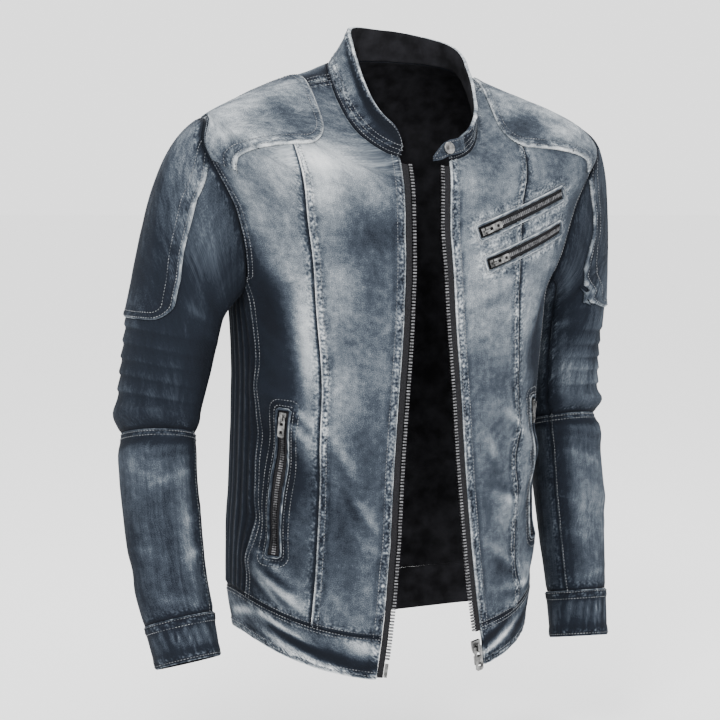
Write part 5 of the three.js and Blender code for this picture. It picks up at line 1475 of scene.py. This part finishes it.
# Rows that follow a distance field of a piece: crossings of the cell edges, joined cell by cell
def rowOn(panel, field, distance, within=None):
    chainsHere = []
    for part in panels[panel]:
        if field not in part["fields"]:
            continue
        away = part["fields"][field][0] - distance
        points = part["outer"] + part["normals"] * 0.12
        normals = part["normals"]
        rows, cols = away.shape
        keep = part["keep"]
        near = np.pad(keep, ((0, 1), (0, 1))) | np.pad(keep, ((1, 0), (0, 1))) | np.pad(
            keep, ((0, 1), (1, 0))) | np.pad(keep, ((1, 0), (1, 0)))
        if within is not None:
            near = near & within(part)
        numberOf, places, ways = {}, [], []

        def crossings(axis):
            a, b = (away[:-1], away[1:]) if axis == 0 else (away[:, :-1], away[:, 1:])
            ok = (near[:-1] & near[1:]) if axis == 0 else (near[:, :-1] & near[:, 1:])
            hit = ok & ((a > 0) != (b > 0)) & (np.abs(a - b) < 30)
            for i, j in zip(*np.nonzero(hit)):
                share = a[i, j] / (a[i, j] - b[i, j])
                i2, j2 = (i + 1, j) if axis == 0 else (i, j + 1)
                numberOf[(axis, int(i), int(j))] = len(places)
                places.append(mix(points[i, j], points[i2, j2], share))
                ways.append(mix(normals[i, j], normals[i2, j2], share))

        crossings(0)
        crossings(1)
        edges = []
        for i, j in zip(*np.nonzero(keep)):
            around = [(0, i, j), (0, i, j + 1), (1, i, j), (1, i + 1, j)]
            found = [numberOf[e] for e in ((a, int(b), int(c)) for a, b, c in around) if e in numberOf]
            if len(found) == 2:
                edges.append(found)
        if edges:
            chainsHere.append((np.array(places), np.array(ways), edges))
    return chainsHere


def straightChain(points, normals):
    return (points, normals, [(k, k + 1) for k in range(len(points) - 1)])


# Lays copies of one solid along rows: pitch between them, size of one and how unevenly they lie
def alongRows(name, rows, pitch, size, surface, solid="ball", jitter=0.12):
    places = np.concatenate([row[0] for row in rows])
    ways = np.concatenate([row[1] for row in rows])
    edges, start = [], 0
    for row in rows:
        edges += [(a + start, b + start) for a, b in row[2]]
        start += len(row[0])
    mesh = bpy.data.meshes.new(name)
    mesh.from_pydata((places * mm).tolist(), edges, [])
    layer = mesh.attributes.new("way", "FLOAT_VECTOR", "POINT")
    layer.data.foreach_set("vector", ways.astype(np.float32).ravel())
    piece = bpy.data.objects.new(name, mesh)
    bpy.context.scene.collection.objects.link(piece)
    tree = bpy.data.node_groups.new(name, "GeometryNodeTree")
    sockets = {}
    wanted = [("Geometry", "NodeSocketGeometry", None), ("Pitch", "NodeSocketFloat", pitch * mm),
              ("Size", "NodeSocketVector", [s * mm for s in size]), ("Jitter", "NodeSocketFloat", jitter),
              ("Seed", "NodeSocketInt", seed)]
    for label, kind, _ in wanted:
        sockets[label] = tree.interface.new_socket(label, in_out="INPUT", socket_type=kind)
    tree.interface.new_socket("Geometry", in_out="OUTPUT", socket_type="NodeSocketGeometry")
    entry, final = node(tree, "NodeGroupInput"), node(tree, "NodeGroupOutput")
    curve = node(tree, "GeometryNodeMeshToCurve")
    link(tree, entry.outputs["Geometry"], curve.inputs[0])
    even = node(tree, "GeometryNodeResampleCurve", mode="LENGTH")
    link(tree, curve.outputs[0], even.inputs["Curve"])
    link(tree, entry.outputs["Pitch"], even.inputs["Length"])
    way = node(tree, "GeometryNodeInputNamedAttribute", data_type="FLOAT_VECTOR")
    way.inputs["Name"].default_value = "way"
    tangent = node(tree, "GeometryNodeInputTangent")
    upright = node(tree, "FunctionNodeAlignRotationToVector", axis="Z")
    link(tree, way.outputs[0], upright.inputs["Vector"])
    turned = node(tree, "FunctionNodeAlignRotationToVector", axis="X", pivot_axis="Z")
    link(tree, upright.outputs[0], turned.inputs["Rotation"])
    link(tree, tangent.outputs[0], turned.inputs["Vector"])
    random = node(tree, "FunctionNodeRandomValue", data_type="FLOAT_VECTOR")
    low = node(tree, "ShaderNodeMath", operation="SUBTRACT")
    high = node(tree, "ShaderNodeMath", operation="ADD")
    for made in (low, high):
        made.inputs[0].default_value = 1.0
        link(tree, entry.outputs["Jitter"], made.inputs[1])
    link(tree, low.outputs[0], random.inputs["Min"])
    link(tree, high.outputs[0], random.inputs["Max"])
    link(tree, entry.outputs["Seed"], random.inputs["Seed"])
    scale = node(tree, "ShaderNodeVectorMath", operation="MULTIPLY")
    link(tree, random.outputs[0], scale.inputs[0])
    link(tree, entry.outputs["Size"], scale.inputs[1])
    if solid == "ball":
        source = node(tree, "GeometryNodeMeshIcoSphere")
        source.inputs["Radius"].default_value = 1.0
        source.inputs["Subdivisions"].default_value = 1
    else:
        source = node(tree, "GeometryNodeMeshCube")
        source.inputs["Size"].default_value = (2, 2, 2)
    instances = node(tree, "GeometryNodeInstanceOnPoints")
    link(tree, even.outputs[0], instances.inputs["Points"])
    link(tree, source.outputs[0], instances.inputs["Instance"])
    link(tree, turned.outputs[0], instances.inputs["Rotation"])
    link(tree, scale.outputs[0], instances.inputs["Scale"])
    real = node(tree, "GeometryNodeRealizeInstances")
    link(tree, instances.outputs[0], real.inputs[0])
    dressed = node(tree, "GeometryNodeSetMaterial")
    dressed.inputs["Material"].default_value = surface
    link(tree, real.outputs[0], dressed.inputs["Geometry"])
    link(tree, dressed.outputs[0], final.inputs[0])
    modifier = piece.modifiers.new("rows", "NODES")
    modifier.node_group = tree
    for label, _, value in wanted[1:]:
        modifier[sockets[label].identifier] = value
    bpy.context.view_layer.update()
    evaluated = piece.evaluated_get(bpy.context.evaluated_depsgraph_get())
    made = bpy.data.meshes.new_from_object(evaluated)
    piece.modifiers.clear()
    piece.data = made
    bpy.data.meshes.remove(mesh)
    made.polygons.foreach_set("use_smooth", np.full(len(made.polygons), solid == "ball"))
    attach(piece, "jacket")
    print(f"{name}: {len(made.polygons)} faces")
    return piece


stitch = {"pitch": 3.4, "size": (1.4, 0.46, 0.42)}
stitchRows = {
    "stitches_front_right": [
        ("front_centre_right", "end", (2.2, 9.5)), ("front_centre_right", "start", (1.8, 7.2)),
        ("front_side_right", "start", (1.8, 7.2)), ("front_side_right", "hand_right", (5.0, 11.0)),
        ("front_centre_right", "low", (3.0,)), ("front_side_right", "low", (3.0,)),
    ],
    "stitches_front_left": [
        ("front_centre_left", "start", (2.2, 9.5)), ("front_centre_left", "end", (1.8, 7.2)),
        ("front_side_left", "end", (1.8, 7.2)), ("front_side_left", "hand_left", (5.0, 11.0)),
        ("front_centre_left", "chest_upper", (5.0,)), ("front_side_left", "chest_upper", (5.0,)),
        ("front_centre_left", "chest_lower", (5.0,)), ("front_side_left", "chest_lower", (5.0,)),
        ("front_centre_left", "low", (3.0,)), ("front_side_left", "low", (3.0,)),
    ],
    "stitches_back": [("back", "start", (1.8, 7.2)), ("back", "end", (1.8, 7.2)), ("back", "low", (3.0,))],
    "stitches_band": [("hem_band", "low", (4.0, 8.5)), ("hem_band", "high", (2.0, 5.2)),
                      ("collar", "high", (2.0,)), ("collar", "low", (3.0, 8.0, 13.0)),
                      ("collar", "start", (3.0,)), ("collar", "end", (3.0,)),
                      ("collar_tab", "low", (2.2,)), ("collar_tab", "high", (2.2,))],
}
for name, _ in sides:
    stitchRows[f"stitches_shoulder_{name}"] = [(f"shoulder_patch_{name}", "outline", (2.0, 7.5))]
    stitchRows[f"stitches_sleeve_{name}"] = [
        (f"sleeve_patch_{name}", "outline", (2.0, 7.5)), (f"sleeve_lower_top_{name}", "low", (2.0, 7.0)),
        (f"sleeve_lower_under_{name}", "low", (2.0, 7.0)), 
        (f"sleeve_lower_top_{name}", "end", (2.0,)), (f"cuff_{name}", "low", (2.0, 9.5)),
        (f"cuff_{name}", "high", (3.0,)),
    ]
for name, wanted in stitchRows.items():
    rows = []
    for panel, field, distances in wanted:
        for distance in distances:
            rows += rowOn(panel, field, distance)
    alongRows(name, rows, stitch["pitch"], stitch["size"], materials["thread"])
print("stitches made")

pocketTooth = {"pitch": 2.6, "size": (0.7, 2.2, 0.6)}
for name, sign in sides:
    rows = zipRows(0.036 if sign < 0 else 0.066, 0.983, 2.0)
    turn = besideEdge(sign, rows, np.full(rows.shape, beadMiddle))
    normals = bodyNormal(turn, rows)
    chain = straightChain(bodySurface(turn, rows) - normals * toothSize["deep"], normals)
    piece = alongRows(f"zip_teeth_{name}_row", [chain], toothSize["pitch"], toothSize["size"],
                      materials["teeth"], "block", 0.03)
    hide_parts(f"zip_teeth_{name}")
for name, (points, normals) in chains.items():
    piece = alongRows(f"pocket_{name}_teeth_row", [straightChain(points, normals)], pocketTooth["pitch"],
                      pocketTooth["size"], materials["teeth"], "block", 0.03)
    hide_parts(f"pocket_{name}_teeth")

# Metal parts keep their solids
metalNodes = ["zip_pin", "zip_box", "zip_slider", "zip_pull"]
metalNodes += [f"pocket_{name}_{part}" for name in pocketNames for part in ("slider", "pull")]
for name in metalNodes:
    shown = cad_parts[name]
    shown.data.materials.clear()
    shown.data.materials.append(materials["metal"])
print("metal dressed")

# Pale studio: a plain floor, soft lights and the camera where the photograph was taken
studio = {"floor": -0.76, "half": 20.0, "paper": 0.95, "world": 2.0}
floorMesh = bpy.data.meshes.new("floor")
floorCorners = [(x * studio["half"], y * studio["half"], studio["floor"])
                for x, y in ((-1, -1), (1, -1), (1, 1), (-1, 1))]
floorMesh.from_pydata(floorCorners, [], [(0, 1, 2, 3)])
floor = bpy.data.objects.new("floor", floorMesh)
bpy.context.scene.collection.objects.link(floor)
paper, tree, shader = newMaterial("paper")
shader.inputs["Base Color"].default_value = (*[studio["paper"]] * 3, 1)
shader.inputs["Roughness"].default_value = 0.95
floorMesh.materials.append(paper)

world = bpy.data.worlds.new("studio")
world.use_nodes = True
world.node_tree.nodes["Background"].inputs[0].default_value = (1, 1, 1, 1)
world.node_tree.nodes["Background"].inputs[1].default_value = studio["world"]
bpy.context.scene.world = world
lights = [
    ("key", (-1.5, -1.9, 1.6), 0.8, 56),
    ("fill", (2.0, -1.4, 0.5), 1.6, 10),
    ("top", (0.2, 0.6, 2.0), 1.2, 30),
]
centre = Vector((0, 0, -0.31))
for name, place, size, power in lights:
    data = bpy.data.lights.new(name, "AREA")
    data.size = size
    data.energy = power
    lamp = bpy.data.objects.new(name, data)
    lamp.location = place
    lamp.rotation_euler = (centre - Vector(place)).to_track_quat("-Z", "Y").to_euler()
    bpy.context.scene.collection.objects.link(lamp)

view = {"azimuth": -25.0, "elevation": 5.5, "distance": 2.6, "lens": 117.0, "shift": (-0.0528, -0.0028)}
a, e = math.radians(view["azimuth"]), math.radians(view["elevation"])
away = Vector((math.sin(a) * math.cos(e), -math.cos(a) * math.cos(e), math.sin(e)))
data = bpy.data.cameras.new("camera")
data.lens = view["lens"]
data.sensor_width = 36
data.shift_x, data.shift_y = view["shift"]
data.clip_end = 20
camera = bpy.data.objects.new("camera", data)
camera.location = centre + away * view["distance"]
camera.rotation_euler = (-away).to_track_quat("-Z", "Y").to_euler()
bpy.context.scene.collection.objects.link(camera)
bpy.context.scene.camera = camera
print("studio ready")
